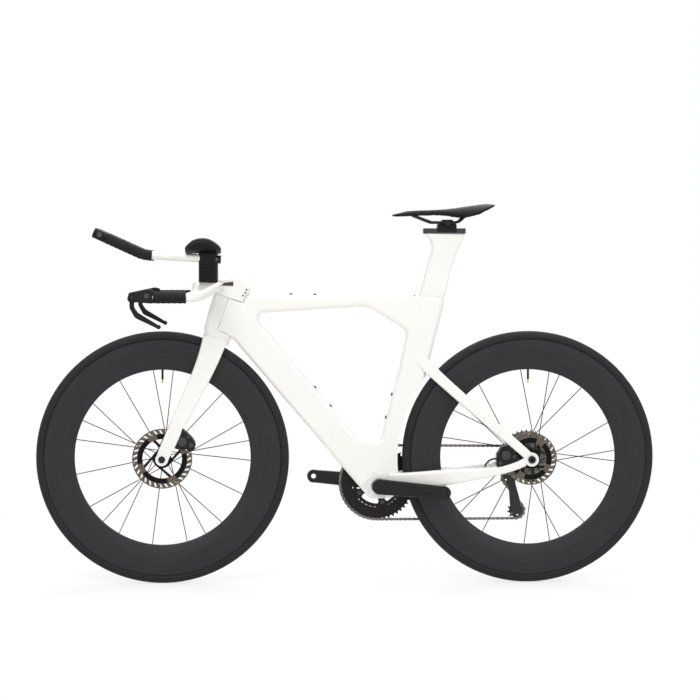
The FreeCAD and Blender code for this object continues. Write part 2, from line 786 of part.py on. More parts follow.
wing_half = loft([
    wing_section(-372.0, 0, 796.0, 0, 80.0, 34.0),
    wing_section(-368.0, -60.0, 795.0, 4, 66.0, 32.0),
    wing_section(-379.0, -114.0, 786.0, 18, 54.0, 34.0),
    wing_section(-395.0, -162.0, 775.0, 50, 38.0, 31.0),
    wing_section(grip_start, -bar_half_width, grip_height, 90, 26.0, 27.0)])
grip = rod(V(grip_start + 2, -bar_half_width, grip_height),
           V(grip_end, -bar_half_width, grip_height), grip_tube_radius)
stem_points = [(-100.0, -24.0), (4.0, -stem_rear), (4.0, stem_rear), (-100.0, 24.0)]
stem_plate = Part.Face(outline(across_steering(stem_low), *rounded(stem_points, [4, 2, 2, 4])))
stem_plate = stem_plate.extrude(steer * (stem_high - stem_low))
base_bar = joined(
    *both_sides(wing_half), *both_sides(grip), stem_plate,
    steering_rod(stem_rear, stem_low, stem_high))
base_bar = base_bar.cut(beside_steering(-64, 40, 60, -60, stem_low))
base_bar = base_bar.cut(steering_rod(steerer_radius + seat_gap, -60, 200))

cover_half = 19.0
cover_points = [
    (-352.0, 790.0), (-341.0, 813.5), (-304.0, 816.5), (-283.0, 814.5), (-253.0, 791.0),
    (-262.0, 755.0), (-326.0, 770.0)]
stem_cover = slab(cover_points, [2, 10, 20, 20, 8, 2, 2], -cover_half, cover_half)
cover_space = joined(
    steering_rod(stem_rear, stem_high + seat_gap, 200),
    beside_steering(-90, 0, cover_half + 5, stem_high + seat_gap, 200))
stem_cover = stem_cover.common(cover_space)
stem_cover = stem_cover.cut(steering_rod(steerer_radius + seat_gap, 0, steerer_top + seat_gap))
stem_cover = stem_cover.cut(base_bar)
save("stem_cover", max(stem_cover.Solids, key=lambda x: x.Volume))

# Cockpit: grips, hoods, levers and bar buttons
tape_end = -506.0
tape_radius = grip_tube_radius + tape_thickness
tape = turned(
    0, 0, (grip_tube_radius + seat_gap, tape_end), (tape_radius - 1.5, tape_end),
    (tape_radius, tape_end + 2), (tape_radius, grip_start - 6), (tape_radius - 2, grip_start - 2),
    (grip_tube_radius + seat_gap, grip_start - 2))
tape.rotate(V(0, 0, 0), UP, -90)
tape = moved(tape, 0, -bar_half_width, grip_height)
save("bar_tape", *both_sides(tape))

hood_half = 13.0
lever_half = 5.0
pivot = (-560.0, 771.5)
pin_radius = 2.0
hood_left = -bar_half_width - hood_half
hood_right = -bar_half_width + hood_half
hood = slab(
    [(-572.0, 767.5), (-568.0, 783.5), (-521.0, 793.5), (tape_end - 0.3, 790.5),
     (tape_end - 0.3, 755.0), (-540.0, 758.0), (-568.0, 759.5)],
    [5, 8, 12, 4, 4, 10, 4], hood_left, hood_right)
hood = hood.makeFillet(5.0, [e for e in hood.Edges if e.BoundBox.YLength < 1e-3])
hood = hood.cut(rod(V(-500, -bar_half_width, grip_height),
                    V(grip_end - seat_gap, -bar_half_width, grip_height),
                    grip_tube_radius + seat_gap))
hood = hood.cut(block(
    -600, -541, -bar_half_width - lever_half - 0.6, -bar_half_width + lever_half + 0.6, 700, 779.0))
hood = hood.cut(disc(*pivot, pin_radius + seat_gap, hood_left - 5, hood_right + 5))
button_mid = (-522.0, 775.5)
button_travel = 1.2
button_depth = 4.0
button_rise = 1.6


def square_button(x, z, half, grow, low, high):
    points = [(x - half, z - half), (x + half, z - half), (x + half, z + half), (x - half, z + half)]
    return slab([(p + math.copysign(grow, p - x), q + math.copysign(grow, q - z))
                 for p, q in points], 2.5, low, high)


hood = hood.cut(square_button(
    *button_mid, 6.0, slide_gap, hood_left - 5, hood_left + button_depth))
save("lever_hoods", *both_sides(hood))
bar_button = square_button(
    *button_mid, 6.0, 0, hood_left - button_rise, hood_left + button_depth - button_travel - slide_gap)
save("bar_button_left", bar_button)
save("bar_button_right", mirrored(bar_button))
lever = slab(
    [(-567.0, 778.0), (-553.5, 778.0), (-554.5, 745.5), (-544.0, 731.5), (-492.0, 700.0),
     (-495.0, 691.0), (-553.0, 718.5), (-566.5, 743.5)],
    [6.5, 6.5, 14, 14, 4, 4, 20, 14], -bar_half_width - lever_half, -bar_half_width + lever_half)
lever_edges = [e for e in lever.Edges if e.BoundBox.YLength < 1e-3]
lever = lever.makeFillet(2.5, lever_edges)
lever = joined(lever, Part.makeSphere(6.0, V(-492.0, -bar_half_width, 695.0)))
lever = lever.cut(disc(*pivot, pin_radius + running, hood_left - 5, hood_right + 5))
save("brake_lever_left", lever)
save("brake_lever_right", mirrored(lever))
lever_pin = disc(*pivot, pin_radius, hood_left, hood_right)

# Cockpit: risers, extensions, pods and arm rests
riser_front = -392.0
riser_rear = -342.6
riser_half = 13.0
riser_low = 800.0
clamp_low = 856.0
arm_y = -extension_half_gap
cup_centre = (-62.0, 938.0)
cup_outer = 52.0
cup_wall = 3.0
pad_thickness = 12.0
ext_back = V(-340.0, arm_y, 869.9)
ext_corner = V(-537.0, arm_y, 881.4)
ext_tip = V(-669.0, arm_y, 941.5)
ext_run = (ext_corner - ext_back).normalize()
tip_run = (ext_tip - ext_corner).normalize()
pod_length = 36.0
pod_start = ext_tip - tip_run * pod_length


def riser_block(low, high, edge):
    points = [(riser_front, arm_y - riser_half), (riser_rear, arm_y - riser_half),
              (riser_rear, arm_y + riser_half), (riser_front, arm_y + riser_half)]
    wire = outline(lambda p: V(p[0], p[1], low), *rounded(points, 9.0))
    solid = Part.Face(wire).extrude(UP * (high - low))
    if edge:
        rims = [e for e in solid.Edges if e.BoundBox.ZLength < 1e-6]
        solid = solid.makeChamfer(edge, rims)
    return solid


first_top = 822.0
spacer_height = (clamp_low - first_top) / (riser_spacers - 1)
riser = [riser_block(riser_low, first_top, 0).cut(base_bar)]
riser = [max(riser[0].Solids, key=lambda x: x.BoundBox.ZMax)]
for i in range(riser_spacers - 1):
    riser.append(riser_block(
        first_top + spacer_height * i + seat_gap, first_top + spacer_height * (i + 1), 0.8))
clamp = riser_block(clamp_low + seat_gap, 900.0, 0)
clamp = clamp.cut(rod(ext_back - ext_run * 40, ext_corner, extension_radius + seat_gap))
clamp = clamp.cut(rod(V(-500, *cup_centre), V(-250, *cup_centre), cup_outer + 0.1))
riser.append(max(clamp.Solids, key=lambda x: x.Volume))
plug = rod(ext_back - ext_run * 5, ext_back, extension_radius)
riser_nodes = []
for solid in riser + [plug]:
    riser_nodes.extend(both_sides(solid))
save("riser_spacers", *riser_nodes)
save("base_bar", base_bar)

extension = bent_rod([ext_back, ext_corner, pod_start], 90.0, extension_radius)
save("extensions", *both_sides(extension))
wrap_start = ext_corner - ext_run * 22
wrap_path = [wrap_start, ext_corner, pod_start]
wrap = bent_rod(wrap_path, 90.0, extension_radius + extension_tape_thickness)
wrap = wrap.cut(bent_rod([ext_back, ext_corner, ext_tip], 90.0, extension_radius + seat_gap))
save("extension_tape", *both_sides(wrap))
pod_radius = 14.0
pod = rod(pod_start, ext_tip, pod_radius)
pod = pod.makeFillet(4.0, [e for e in pod.Edges if (e.CenterOfMass - ext_tip).Length < 1])
pod_mid = pod_start + tip_run * (pod_length * 0.5)
pod_button_radius = 7.0
pod_face = arm_y - pod_radius
pod = pod.cut(disc(pod_mid.x, pod_mid.z, pod_button_radius + slide_gap, pod_face - 5,
                   pod_face + button_depth + 2))
save("extension_pods", *both_sides(pod))
pod_button = disc(pod_mid.x, pod_mid.z, pod_button_radius, pod_face - button_rise + 0.6,
                  pod_face + button_depth + 2 - button_travel - slide_gap)
pod_button = pod_button.makeFillet(
    1.2, [e for e in pod_button.Edges if abs(e.CenterOfMass.y - pod_face) < 2])
save("extension_button_left", pod_button)
save("extension_button_right", mirrored(pod_button))


def arm_section(x, inner_angle, outer_angle, big, small):
    """Trough section between two radii, from its inner to its outer edge."""
    def at(radius, degrees):
        turn = math.radians(degrees)
        return (cup_centre[0] - radius * math.sin(turn), cup_centre[1] - radius * math.cos(turn))

    middle = (outer_angle - inner_angle) / 2
    place = lambda p: V(x, p[0], p[1])
    return outline(
        place, at(big, -inner_angle), (at(big, middle), at(big, outer_angle)),
        at(small, outer_angle), (at(small, middle), at(small, -inner_angle)))


arm_rows = [
    (-427.0, 26.0, 40.0, 4.0), (-408.0, 38.0, 64.0, 1.0), (-381.0, 43.0, 73.0, 0.0),
    (-354.0, 38.0, 64.0, 1.0), (-335.0, 26.0, 40.0, 4.0)]
cup_inner = cup_outer - cup_wall
arm_cup = loft([arm_section(x, a, b, cup_outer, cup_inner) for x, a, b, low in arm_rows])
pad_inner = cup_inner - pad_thickness
arm_pad = loft([
    arm_section(x, a, b, cup_inner - seat_gap, pad_inner + low) for x, a, b, low in arm_rows])
save("armrest_cups", *both_sides(arm_cup))
save("arm_pads", *both_sides(arm_pad))
cover_flap = slab(
    [(-331.0, 800.0), (-301.0, 799.0), (-301.0, 811.0), (-327.0, 807.0)], 1.5, -cover_half - 1.2, -cover_half)
cover_screws = [disc(x, z, 2.3, -cover_half - 1.2, -cover_half)
                for x, z in ((-265.5, 789.0), (-269.0, 781.0), (-275.0, 773.5))]
save("cockpit_screws", *both_sides(lever_pin), *both_sides(cover_flap),
     *[half for piece in cover_screws for half in both_sides(piece)])

# Drive: cranks with spindle
def arm_point(reach, rise, turn):
    """Point at a reach along a crank arm and a rise across it."""
    a = math.radians(turn)
    return (crank_x + reach * math.cos(a) - rise * math.sin(a),
            crank_height + reach * math.sin(a) + rise * math.cos(a))


def make_arm(turn):
    """Left crank arm, from its boss out to the pedal eye."""
    sections = []
    for reach, y, width, tall in (
            (0.0, -57.0, 19.0, 41.0), (60.0, -61.0, 15.0, 39.0), (crank_length, -67.5, 13.0, 35.0)):
        low = arm_point(reach, -tall / 2, turn)
        high = arm_point(reach, tall / 2, turn)
        sections.append(tube_section(low, high, y, width, width, 5.0, 5.0))
    boss = disc(crank_x, crank_height, 20.0, -67.0, -46.5)
    eye = arm_point(crank_length, 0, turn)
    arm = joined(loft(sections), boss, disc(*eye, 17.5, -74.0, -61.0))
    return arm.cut(disc(*eye, pedal_bore, -100, 0))


spindle_end = 60.0
left_arm = make_arm(crank_angle)
crank_left = left_arm.cut(disc(crank_x, crank_height, spindle_radius + seat_gap, -100, 100))
save("crank_left", crank_left)
tab_low = inner_ring_y + 2.0
tab_high = outer_ring_y - 1.5
tab_reach = bolt_circle_radius + 7.0
spider = [disc(crank_x, crank_height, 30.0, shell_half_width + 0.6, 60.0)]
bolt_angles = [crank_angle + 35 + step for step in (0, 75, 180, 255)]
bolt_places = []
for turn in bolt_angles:
    corners = [(20, -13), (tab_reach, -7.5), (tab_reach, 7.5), (20, 13)]
    points = [arm_point(*c, turn) for c in corners]
    spider.append(slab(points, [0, 7, 7, 0], tab_low, tab_high))
    bolt_places.append(arm_point(bolt_circle_radius, 0, turn))
right_arm = mirrored(make_arm(crank_angle + 180))
spindle = disc(crank_x, crank_height, spindle_radius, -spindle_end - 6, spindle_end)
spider = joined(*spider).cut(spindle)
right_arm = right_arm.cut(spider).cut(spindle)
bolt_radius = 4.0
for place in bolt_places:
    spider = spider.cut(disc(*place, bolt_radius + seat_gap, 0, 100))
save("crank_right", right_arm, spider, spindle)


# Drive: chain line
def pitch_radius(teeth):
    return chain_pitch / (2 * math.sin(math.pi / teeth))


ring_circle = (crank_x, crank_height, pitch_radius(outer_ring_teeth), 1, outer_ring_y)
cog_circle = (rear_axle_x, axle_height, pitch_radius(sprockets[0]), 1, first_sprocket_y)
guide_place = (452.0, 277.0)


def chain_circles(cage_angle):
    """Ring, tension pulley, guide pulley and sprocket, in the order that the chain meets them."""
    r = pitch_radius(pulley_teeth)
    a = math.radians(cage_angle)
    tension = (guide_place[0] + pulley_spacing * math.cos(a),
               guide_place[1] + pulley_spacing * math.sin(a))
    return [ring_circle, (*tension, r, 1, first_sprocket_y),
            (*guide_place, r, -1, first_sprocket_y), cog_circle]


def tangent(one, two):
    """Points where the chain leaves the first circle and meets the second."""
    dx = two[0] - one[0]
    dz = two[1] - one[1]
    k = two[3] * two[2] - one[3] * one[2]
    run = math.sqrt(dx * dx + dz * dz - k * k)
    a = (run * dx + k * dz) / (run * run + k * k)
    b = (run * dz - k * dx) / (run * run + k * k)
    leave = (one[0] + one[3] * one[2] * b, one[1] - one[3] * one[2] * a)
    meet = (two[0] + two[3] * two[2] * b, two[1] - two[3] * two[2] * a)
    return leave, meet


def chain_track(circles):
    """List of (length, place) for the arcs and straight runs of the closed chain line."""
    pieces = []
    count = len(circles)
    for i, circle in enumerate(circles):
        after = circles[(i + 1) % count]
        start = tangent(circles[i - 1], circle)[1]
        leave, meet = tangent(circle, after)
        x, z, r, way, y = circle
        first = math.atan2(start[1] - z, start[0] - x)
        last = math.atan2(leave[1] - z, leave[0] - x)
        sweep = (way * (last - first)) % (2 * math.pi)

        def on_arc(t, x=x, z=z, r=r, way=way, y=y, first=first):
            a = first + way * t / r
            return V(x + r * math.cos(a), y, z + r * math.sin(a))

        run = math.dist(leave, meet)

        def on_run(t, leave=leave, meet=meet, run=run, y=y, far=after[4]):
            f = t / run
            hold = min(0.3, 1.5 * chain_pitch / run)
            across = min(1, max(0, (f - hold) / (1 - 2 * hold)))
            return V(leave[0] + (meet[0] - leave[0]) * f, y + (far - y) * across,
                     leave[1] + (meet[1] - leave[1]) * f)

        pieces.append((sweep * r, on_arc))
        pieces.append((run, on_run))
    return pieces


def track_point(track, total, t):
    t = t % total
    for length, place in track:
        if t <= length:
            return place(t)
        t -= length
    return track[0][1](0)


def side_gap(a, b):
    return math.hypot(a.x - b.x, a.z - b.z)


def walk_chain(cage_angle, links):
    """Pins one pitch apart along the chain line, and how far the last one falls short."""
    track = chain_track(chain_circles(cage_angle))
    total = sum(length for length, place in track)
    t = 3.0
    pins = []
    for i in range(links):
        here = track_point(track, total, t)
        pins.append(here)
        low = t + chain_pitch * 0.98
        high = t + chain_pitch * 1.08
        for step in range(40):
            middle = (low + high) / 2
            if side_gap(track_point(track, total, middle), here) < chain_pitch:
                low = middle
            else:
                high = middle
        t = (low + high) / 2
    return pins, 3.0 + total - t


def close_chain(links):
    """Cage angle at which the chain closes on itself."""
    low = -100.0
    high = -40.0
    for step in range(40):
        middle = (low + high) / 2
        if walk_chain(middle, links)[1] > 0:
            high = middle
        else:
            low = middle
    return (low + high) / 2


chain_links = 110
cage_angle = close_chain(chain_links)
chain_pins = walk_chain(cage_angle, chain_links)[0]
tension_circle = chain_circles(cage_angle)[1]
tension_place = tension_circle[:2]

# Drive: chain of flat-sided inner and outer links
plate_thickness = 0.7
roller_radius = 3.7
inner_face = 1.1
outer_face = inner_face + plate_thickness + 0.1


def chain_plate(a, b, near, far):
    """Waisted eight-sided plate from pin to pin, between two distances beside the chain line."""
    run = b - a
    length = run.Length
    run.normalize()
    up = RIGHT.cross(run).normalize()
    side = run.cross(up)
    points = [
        (-3.8, -1.9), (-1.9, -3.8), (length / 2, -2.7), (length + 1.9, -3.8),
        (length + 3.8, -1.9), (length + 3.8, 1.9), (length + 1.9, 3.8), (length / 2, 2.7),
        (-1.9, 3.8), (-3.8, 1.9)]
    start = a + side * near
    loop = [start + run * p + up * q for p, q in points]
    return Part.Face(Part.makePolygon(loop + loop[:1])).extrude(side * (far - near))


def chain_roller(pin, run):
    run = run.normalize()
    up = RIGHT.cross(run).normalize()
    side = run.cross(up)
    start = pin - side * inner_face
    loop = []
    for i in range(8):
        a = math.pi * (i + 0.5) / 4
        loop.append(start + run * (roller_radius * math.cos(a)) + up * (roller_radius * math.sin(a)))
    return Part.Face(Part.makePolygon(loop + loop[:1])).extrude(side * (2 * inner_face))


chain = []
for i in range(chain_links):
    a = chain_pins[i]
    b = chain_pins[(i + 1) % chain_links]
    if i % 2 == 0:
        chain.append(chain_plate(a, b, inner_face, inner_face + plate_thickness))
        chain.append(chain_plate(a, b, -inner_face - plate_thickness, -inner_face))
        chain.append(chain_roller(a, b - a))
        chain.append(chain_roller(b, b - a))
    else:
        chain.append(chain_plate(a, b, outer_face, outer_face + plate_thickness))
        chain.append(chain_plate(a, b, -outer_face - plate_thickness, -outer_face))
save("chain", *chain)


# Drive: toothed wheels
def nearest_pin_angle(x, z):
    """Angle, about a wheel's centre, of the chain pin that lies deepest in its wrap."""
    close = min(math.hypot(p.x - x, p.z - z) for p in chain_pins)
    held = [p for p in chain_pins if math.hypot(p.x - x, p.z - z) < close + 0.02]
    pin = held[len(held) // 2]
    return math.atan2(pin.z - z, pin.x - x)


def tooth_disc(x, z, teeth, pin_angle, y, thickness, seats, tip):
    """Toothed plate with a seat for a chain roller at the pin angle."""
    r = pitch_radius(teeth)
    deep = roller_radius + 0.3
    place = lambda p: V(x + p[0], y - thickness / 2, z + p[1])
    route = []
    for k in range(teeth):
        a = pin_angle + 2 * math.pi * k / teeth
        b = a + math.pi / teeth
        centre = (r * math.cos(a), r * math.sin(a))

        def seat(turn):
            return (centre[0] - deep * math.cos(a + turn), centre[1] - deep * math.sin(a + turn))

        half_tip = 1.1 / r
        tip_radius = r + tip
        tips = [(tip_radius * math.cos(b + f), tip_radius * math.sin(b + f))
                for f in (-half_tip, half_tip)]
        route.append(seat(0.9))
        route.append((seat(0), seat(-0.9)) if seats else seat(-0.9))
        route.extend(tips)
    face = Part.Face(outline(place, *route))
    return face.extrude(RIGHT * thickness)


ring_phase = nearest_pin_angle(crank_x, crank_height)
rings = []
for teeth, y, inner, body, phase, seats in (
        (outer_ring_teeth, outer_ring_y, 68.0, 93.5, ring_phase, True),
        (inner_ring_teeth, inner_ring_y, 57.0, 61.0, 0.0, False)):
    ring = tooth_disc(crank_x, crank_height, teeth, phase, y, tooth_thickness, seats, 2.6)
    rim = disc(crank_x, crank_height, body, y - 1.2, y + 1.2)
    ring = joined(ring, rim).cut(disc(crank_x, crank_height, inner, 0, 100))
    ears = []
    for turn in bolt_angles:
        corners = [(inner + 2, -15), (inner + 2, 15), (bolt_circle_radius - 7, 8),
                   (bolt_circle_radius - 7, -8)]
        points = [arm_point(*c, turn) for c in corners]
        ears.append(slab(points, [0, 0, 6, 6], y - 1.2, y + 1.2))
    ring = joined(ring, *ears)
    for place in bolt_places:
        ring = ring.cut(disc(*place, bolt_radius + seat_gap, 0, 100))
    rings.append(ring)
save("chainrings", *rings)
bolts = []
for place in bolt_places:
    shank = disc(*place, bolt_radius, inner_ring_y - 1.2, outer_ring_y + 1.2)
    bolt_head = disc(*place, bolt_radius + 2, outer_ring_y + 1.2 + seat_gap, outer_ring_y + 3)
    nut = disc(*place, bolt_radius + 2, inner_ring_y - 2.2, inner_ring_y - 1.2 - seat_gap)
    neck_pin = disc(*place, bolt_radius, inner_ring_y - 2.2, outer_ring_y + 3)
    bolts.append(joined(shank, bolt_head, nut, neck_pin))
save("chainring_bolts", *bolts)

cog_phase = nearest_pin_angle(rear_axle_x, axle_height)
sleeve_radius = 17.0
last_sprocket_y = first_sprocket_y - sprocket_pitch * (len(sprockets) - 1)
cassette = [turned(
    rear_axle_x, axle_height, (hub_bore, freehub_start + slide_gap),
    (sleeve_radius, freehub_start + slide_gap), (sleeve_radius, first_sprocket_y + 1.5),
    (9, first_sprocket_y + 1.5), (9, rear_hub_end), (hub_bore, rear_hub_end))]
for i, teeth in enumerate(sprockets):
    y = first_sprocket_y - sprocket_pitch * i
    phase = cog_phase if i == 0 else 0.0
    cog = tooth_disc(rear_axle_x, axle_height, teeth, phase, y, tooth_thickness, i == 0, 2.2)
    root = pitch_radius(teeth) - 6
    if root > sleeve_radius + 16:
        for k in range(6):
            a = 2 * math.pi * (k + 0.5 * (i % 2)) / 6
            reach = (root + sleeve_radius + 4) / 2
            hole = disc(rear_axle_x + reach * math.cos(a), axle_height + reach * math.sin(a),
                        (root - sleeve_radius - 6) / 2, y - 2, y + 2)
            cog = cog.cut(hole)
    cassette.append(cog)
cassette = joined(*cassette)
cassette = cassette.cut(disc(rear_axle_x, axle_height, hub_bore, 0, 100))
save("cassette", cassette)

# Rear derailleur: pulleys and cage
pulley_bolt = 3.0
for name, place in (("guide_pulley", guide_place), ("tension_pulley", tension_place)):
    phase = nearest_pin_angle(*place)
    pulley = tooth_disc(*place, pulley_teeth, phase, first_sprocket_y, tooth_thickness, True, 2.0)
    hub = disc(*place, 7.0, first_sprocket_y - 2.8, first_sprocket_y + 2.8)
    pulley = joined(pulley, hub)
    for k in range(5):
        a = 2 * math.pi * k / 5
        pulley = pulley.cut(disc(place[0] + 12 * math.cos(a), place[1] + 12 * math.sin(a), 3.2,
                                 first_sprocket_y - 5, first_sprocket_y + 5))
    save(name, pulley.cut(disc(*place, pulley_bolt + running, 0, 100)))

cage_gap = 3.4
cage_plate = 1.6
cage_out = V(tension_place[0] - guide_place[0], tension_place[1] - guide_place[1], 0).normalize()


def cage_point(along, across):
    """Point along the cage from the guide pulley, and across it towards the front."""
    return (guide_place[0] + cage_out.x * along + cage_out.y * across,
            guide_place[1] + cage_out.y * along - cage_out.x * across)


plate_points = [cage_point(*p) for p in (
    (-10, -9), (-10, 9), (40, 9), (pulley_spacing + 8, 16), (pulley_spacing + 14, -14), (60, -15))]
hole_points = [cage_point(*p) for p in (
    (20, -4), (24, 4), (48, 4), (pulley_spacing - 14, 8), (pulley_spacing - 14, -9), (60, -9))]
cage_pieces = []
for low in (first_sprocket_y - cage_gap - cage_plate, first_sprocket_y + cage_gap):
    plate = slab(plate_points, [8, 8, 8, 10, 8, 8], low, low + cage_plate)
    cage_pieces.append(plate.cut(slab(hole_points, 2.0, low - 1, low + cage_plate + 1)))
cage_low = first_sprocket_y - cage_gap - cage_plate
cage_high = first_sprocket_y + cage_gap + cage_plate
stud_radius = 5.0
stud_end = cage_high + 14.0
cage_pieces.append(disc(*guide_place, pulley_bolt, cage_low, cage_high))
cage_pieces.append(disc(*tension_place, pulley_bolt, cage_low - 1, cage_high + 1))
cage_pieces.append(disc(*guide_place, stud_radius, cage_high, stud_end))
save("derailleur_cage", joined(*cage_pieces))

# Rear derailleur: knuckles and links of the slanted parallelogram
slant = math.radians(45)
link_axis = V(0, -math.sin(slant), math.cos(slant))
link_out = V(0, math.cos(slant), math.sin(slant))
FORWARD = V(-1, 0, 0)
link_reach = 42.0
link_rise = 27.0
link_gap = 14.0
link_half = 6.0
link_pin = 2.5
ear_gap = 0.4
ear_thickness = 3.0
lower_pivot = V(464.0, 82.0, 292.0)
upper_pivot = lower_pivot - FORWARD * link_reach - link_out * link_rise


def link_plate(origin, points, radii, low, high):
    """Plate square to the link pins: points are (forward, outward) from an origin."""
    place = lambda p: origin + FORWARD * p[0] + link_out * p[1] + link_axis * low
    return Part.Face(outline(place, *rounded(points, radii))).extrude(link_axis * (high - low))


def link_rod(origin, radius, low, high):
    return rod(origin + link_axis * low, origin + link_axis * high, radius)


def make_link(origin, half_width, bore_far):
    """Link from an upper to a lower pin."""
    run = V(link_reach, link_rise, 0).normalize()
    across = V(-run.y, run.x, 0)
    length = math.hypot(link_reach, link_rise)
    points = []
    for along, side in ((-5, -1), (length + 5, -1), (length + 5, 1), (-5, 1)):
        p = run * along + across * (side * half_width)
        points.append((p.x, p.y))
    link = link_plate(origin, points, 3.5, -link_half, link_half)
    far = origin + FORWARD * link_reach + link_out * link_rise
    link = link.cut(link_rod(origin, link_pin + running, -20, 20))
    return link.cut(link_rod(far, bore_far, -20, 20))


outer_pivot = upper_pivot + link_out * link_gap
save("derailleur_inner_link", make_link(upper_pivot, 4.0, link_pin + slide_gap))
save("derailleur_outer_link", make_link(outer_pivot, 4.5, link_pin + running))
ear_low = link_half + ear_gap
ear_high = ear_low + ear_thickness


def knuckle(origin, way):
    """Two ears, a bridge behind them and two pins; the way points from pins to bridge."""
    wide = [(way * -5.5, -6.0), (way * 19.0, -6.0), (way * 19.0, link_gap + 6.0),
            (way * -5.5, link_gap + 6.0)]
    bridge = [(way * 13.0, -6.0), (way * 19.0, -6.0), (way * 19.0, link_gap + 6.0),
              (way * 13.0, link_gap + 6.0)]
    pieces = [link_plate(origin, wide, 4.0, ear_low, ear_high),
              link_plate(origin, wide, 4.0, -ear_high, -ear_low),
              link_plate(origin, bridge, 1.0, -ear_high, ear_high)]
    for shift in (0, link_gap):
        pieces.append(link_rod(origin + link_out * shift, link_pin, -ear_high, ear_high))
    return pieces


upper = knuckle(upper_pivot, -1)
hanger_y = rear_drop + drop_thickness - 2
bolt_start = V(hanger_bolt[0], rear_drop + 2, hanger_bolt[1])
upper.append(rod(bolt_start, bolt_start + RIGHT * 20, 5.0 - seat_gap))
upper.append(disc(*hanger_bolt, 11.0, hanger_y + seat_gap, hanger_y + 12))
arm_root = upper_pivot - FORWARD * 16 + link_out * (link_gap + 2)
upper.append(rod(V(hanger_bolt[0] + 3, hanger_y + 7, hanger_bolt[1]), arm_root, 6.5))
upper_knuckle = joined(*upper).cut(frame)
save("derailleur_upper_knuckle", max(upper_knuckle.Solids, key=lambda x: x.Volume))
lower = knuckle(lower_pivot, 1)
lower.append(disc(*guide_place, 11.0, cage_high + slide_gap, stud_end + 2))
lower_root = lower_pivot + FORWARD * 16 + link_out * 3
lower.append(rod(V(guide_place[0], stud_end - 7, guide_place[1]), lower_root, 6.0))
lower_knuckle = joined(*lower)
lower_knuckle = lower_knuckle.cut(disc(*guide_place, stud_radius + running, 0, stud_end + slide_gap))
save("derailleur_lower_knuckle", lower_knuckle)

# Front derailleur on the right of the seat tube
fd_pivot_y = 40.0
fd_pivot_z = 394.0
fd_front = 112.0
fd_rear = 132.0
fd_pin = 2.5
fd_body = slab(
    [(fd_front - 2, 384.0), (fd_rear + 6, 386.0), (fd_rear + 12, 424.0), (fd_front + 4, 426.0)],
    [5, 5, 8, 8], frame_half_width, frame_half_width + 12)
fd_lug = []
for x in (fd_front, fd_rear + 2):
    fd_lug.append(block(x, x + 4, frame_half_width + 8, fd_pivot_y + 5, fd_pivot_z - 5, fd_pivot_z + 6))
fd_pin_rod = rod(V(fd_front, fd_pivot_y, fd_pivot_z), V(fd_rear + 6, fd_pivot_y, fd_pivot_z), fd_pin)
save("front_derailleur", joined(fd_body, *fd_lug, fd_pin_rod))


def ring_plate(inner, outer, start, end, low, high):
    """Piece of a flat ring around the crank axis between two angles."""
    def at(radius, degrees):
        a = math.radians(degrees)
        return (crank_x + radius * math.cos(a), crank_height + radius * math.sin(a))

    middle = (start + end) / 2
    wire = outline(
        on_side(low), at(inner, start), (at(inner, middle), at(inner, end)), at(outer, end),
        (at(outer, middle), at(outer, start)))
    return Part.Face(wire).extrude(RIGHT * (high - low))


fd_inner_y = outer_ring_y - 4.6
fd_outer_y = outer_ring_y + 5.4
fd_plate = 1.2
fd_bottom = pitch_radius(outer_ring_teeth) + 5.5
fd_top = fd_bottom + 14.0
fd_cage = joined(
    ring_plate(fd_bottom - 14, fd_top, 66, 100, fd_inner_y - fd_plate, fd_inner_y),
    ring_plate(fd_bottom, fd_top, 66, 100, fd_outer_y, fd_outer_y + fd_plate),
    ring_plate(fd_top - 2, fd_top, 66, 72, fd_inner_y - fd_plate, fd_outer_y + fd_plate),
    ring_plate(fd_top - 2, fd_top, 88, 96, fd_inner_y - fd_plate, fd_outer_y + fd_plate),
    block(fd_front + 4.4, fd_rear + 1.6, fd_inner_y - fd_plate - 2, fd_inner_y, 370.0, fd_pivot_z),
    rod(V(fd_front + 4.4, fd_pivot_y, fd_pivot_z), V(fd_rear + 1.6, fd_pivot_y, fd_pivot_z), 5.0))
fd_cage = fd_cage.cut(
    rod(V(0, fd_pivot_y, fd_pivot_z), V(200, fd_pivot_y, fd_pivot_z), fd_pin + running))
save("front_derailleur_cage", fd_cage)

# Brake calipers with sliding pads
pad_gap = 0.4
pad_plate = 3.0


def make_brake(x, y, radius, points, radii, low, high, away):
    """Caliper body around a rotor, and its left and right pads."""
    body = slab(points, radii, low, high)
    body = body.makeFillet(3.0, [e for e in body.Edges if e.BoundBox.YLength < 1e-3])
    middle = (x + away[0], axle_height + away[1])
    reach = math.hypot(*away)
    out = (away[0] / reach, away[1] / reach)
    slot = 3.0
    body = body.cut(disc(x, axle_height, radius + 2, y - slot, y + slot))
    pads = []
    for side in (-1, 1):
        near = y + side * (rotor_thickness / 2 + pad_gap)
        far = near + side * pad_plate
        corners = [(-9, -10), (7, -10), (7, 10), (-9, 10)]
        place = [(middle[0] + p * out[0] - q * out[1], middle[1] + p * out[1] + q * out[0])
                 for p, q in corners]
        pads.append(slab(place, 3.0, min(near, far), max(near, far)))
        wide = [(middle[0] + 1.06 * (p * out[0] - q * out[1]),
                 middle[1] + 1.06 * (p * out[1] + q * out[0])) for p, q in corners]
        back = far + side * seat_gap
        body = body.cut(slab(wide, 3.0, min(y, back), max(y, back)))
    return body, pads


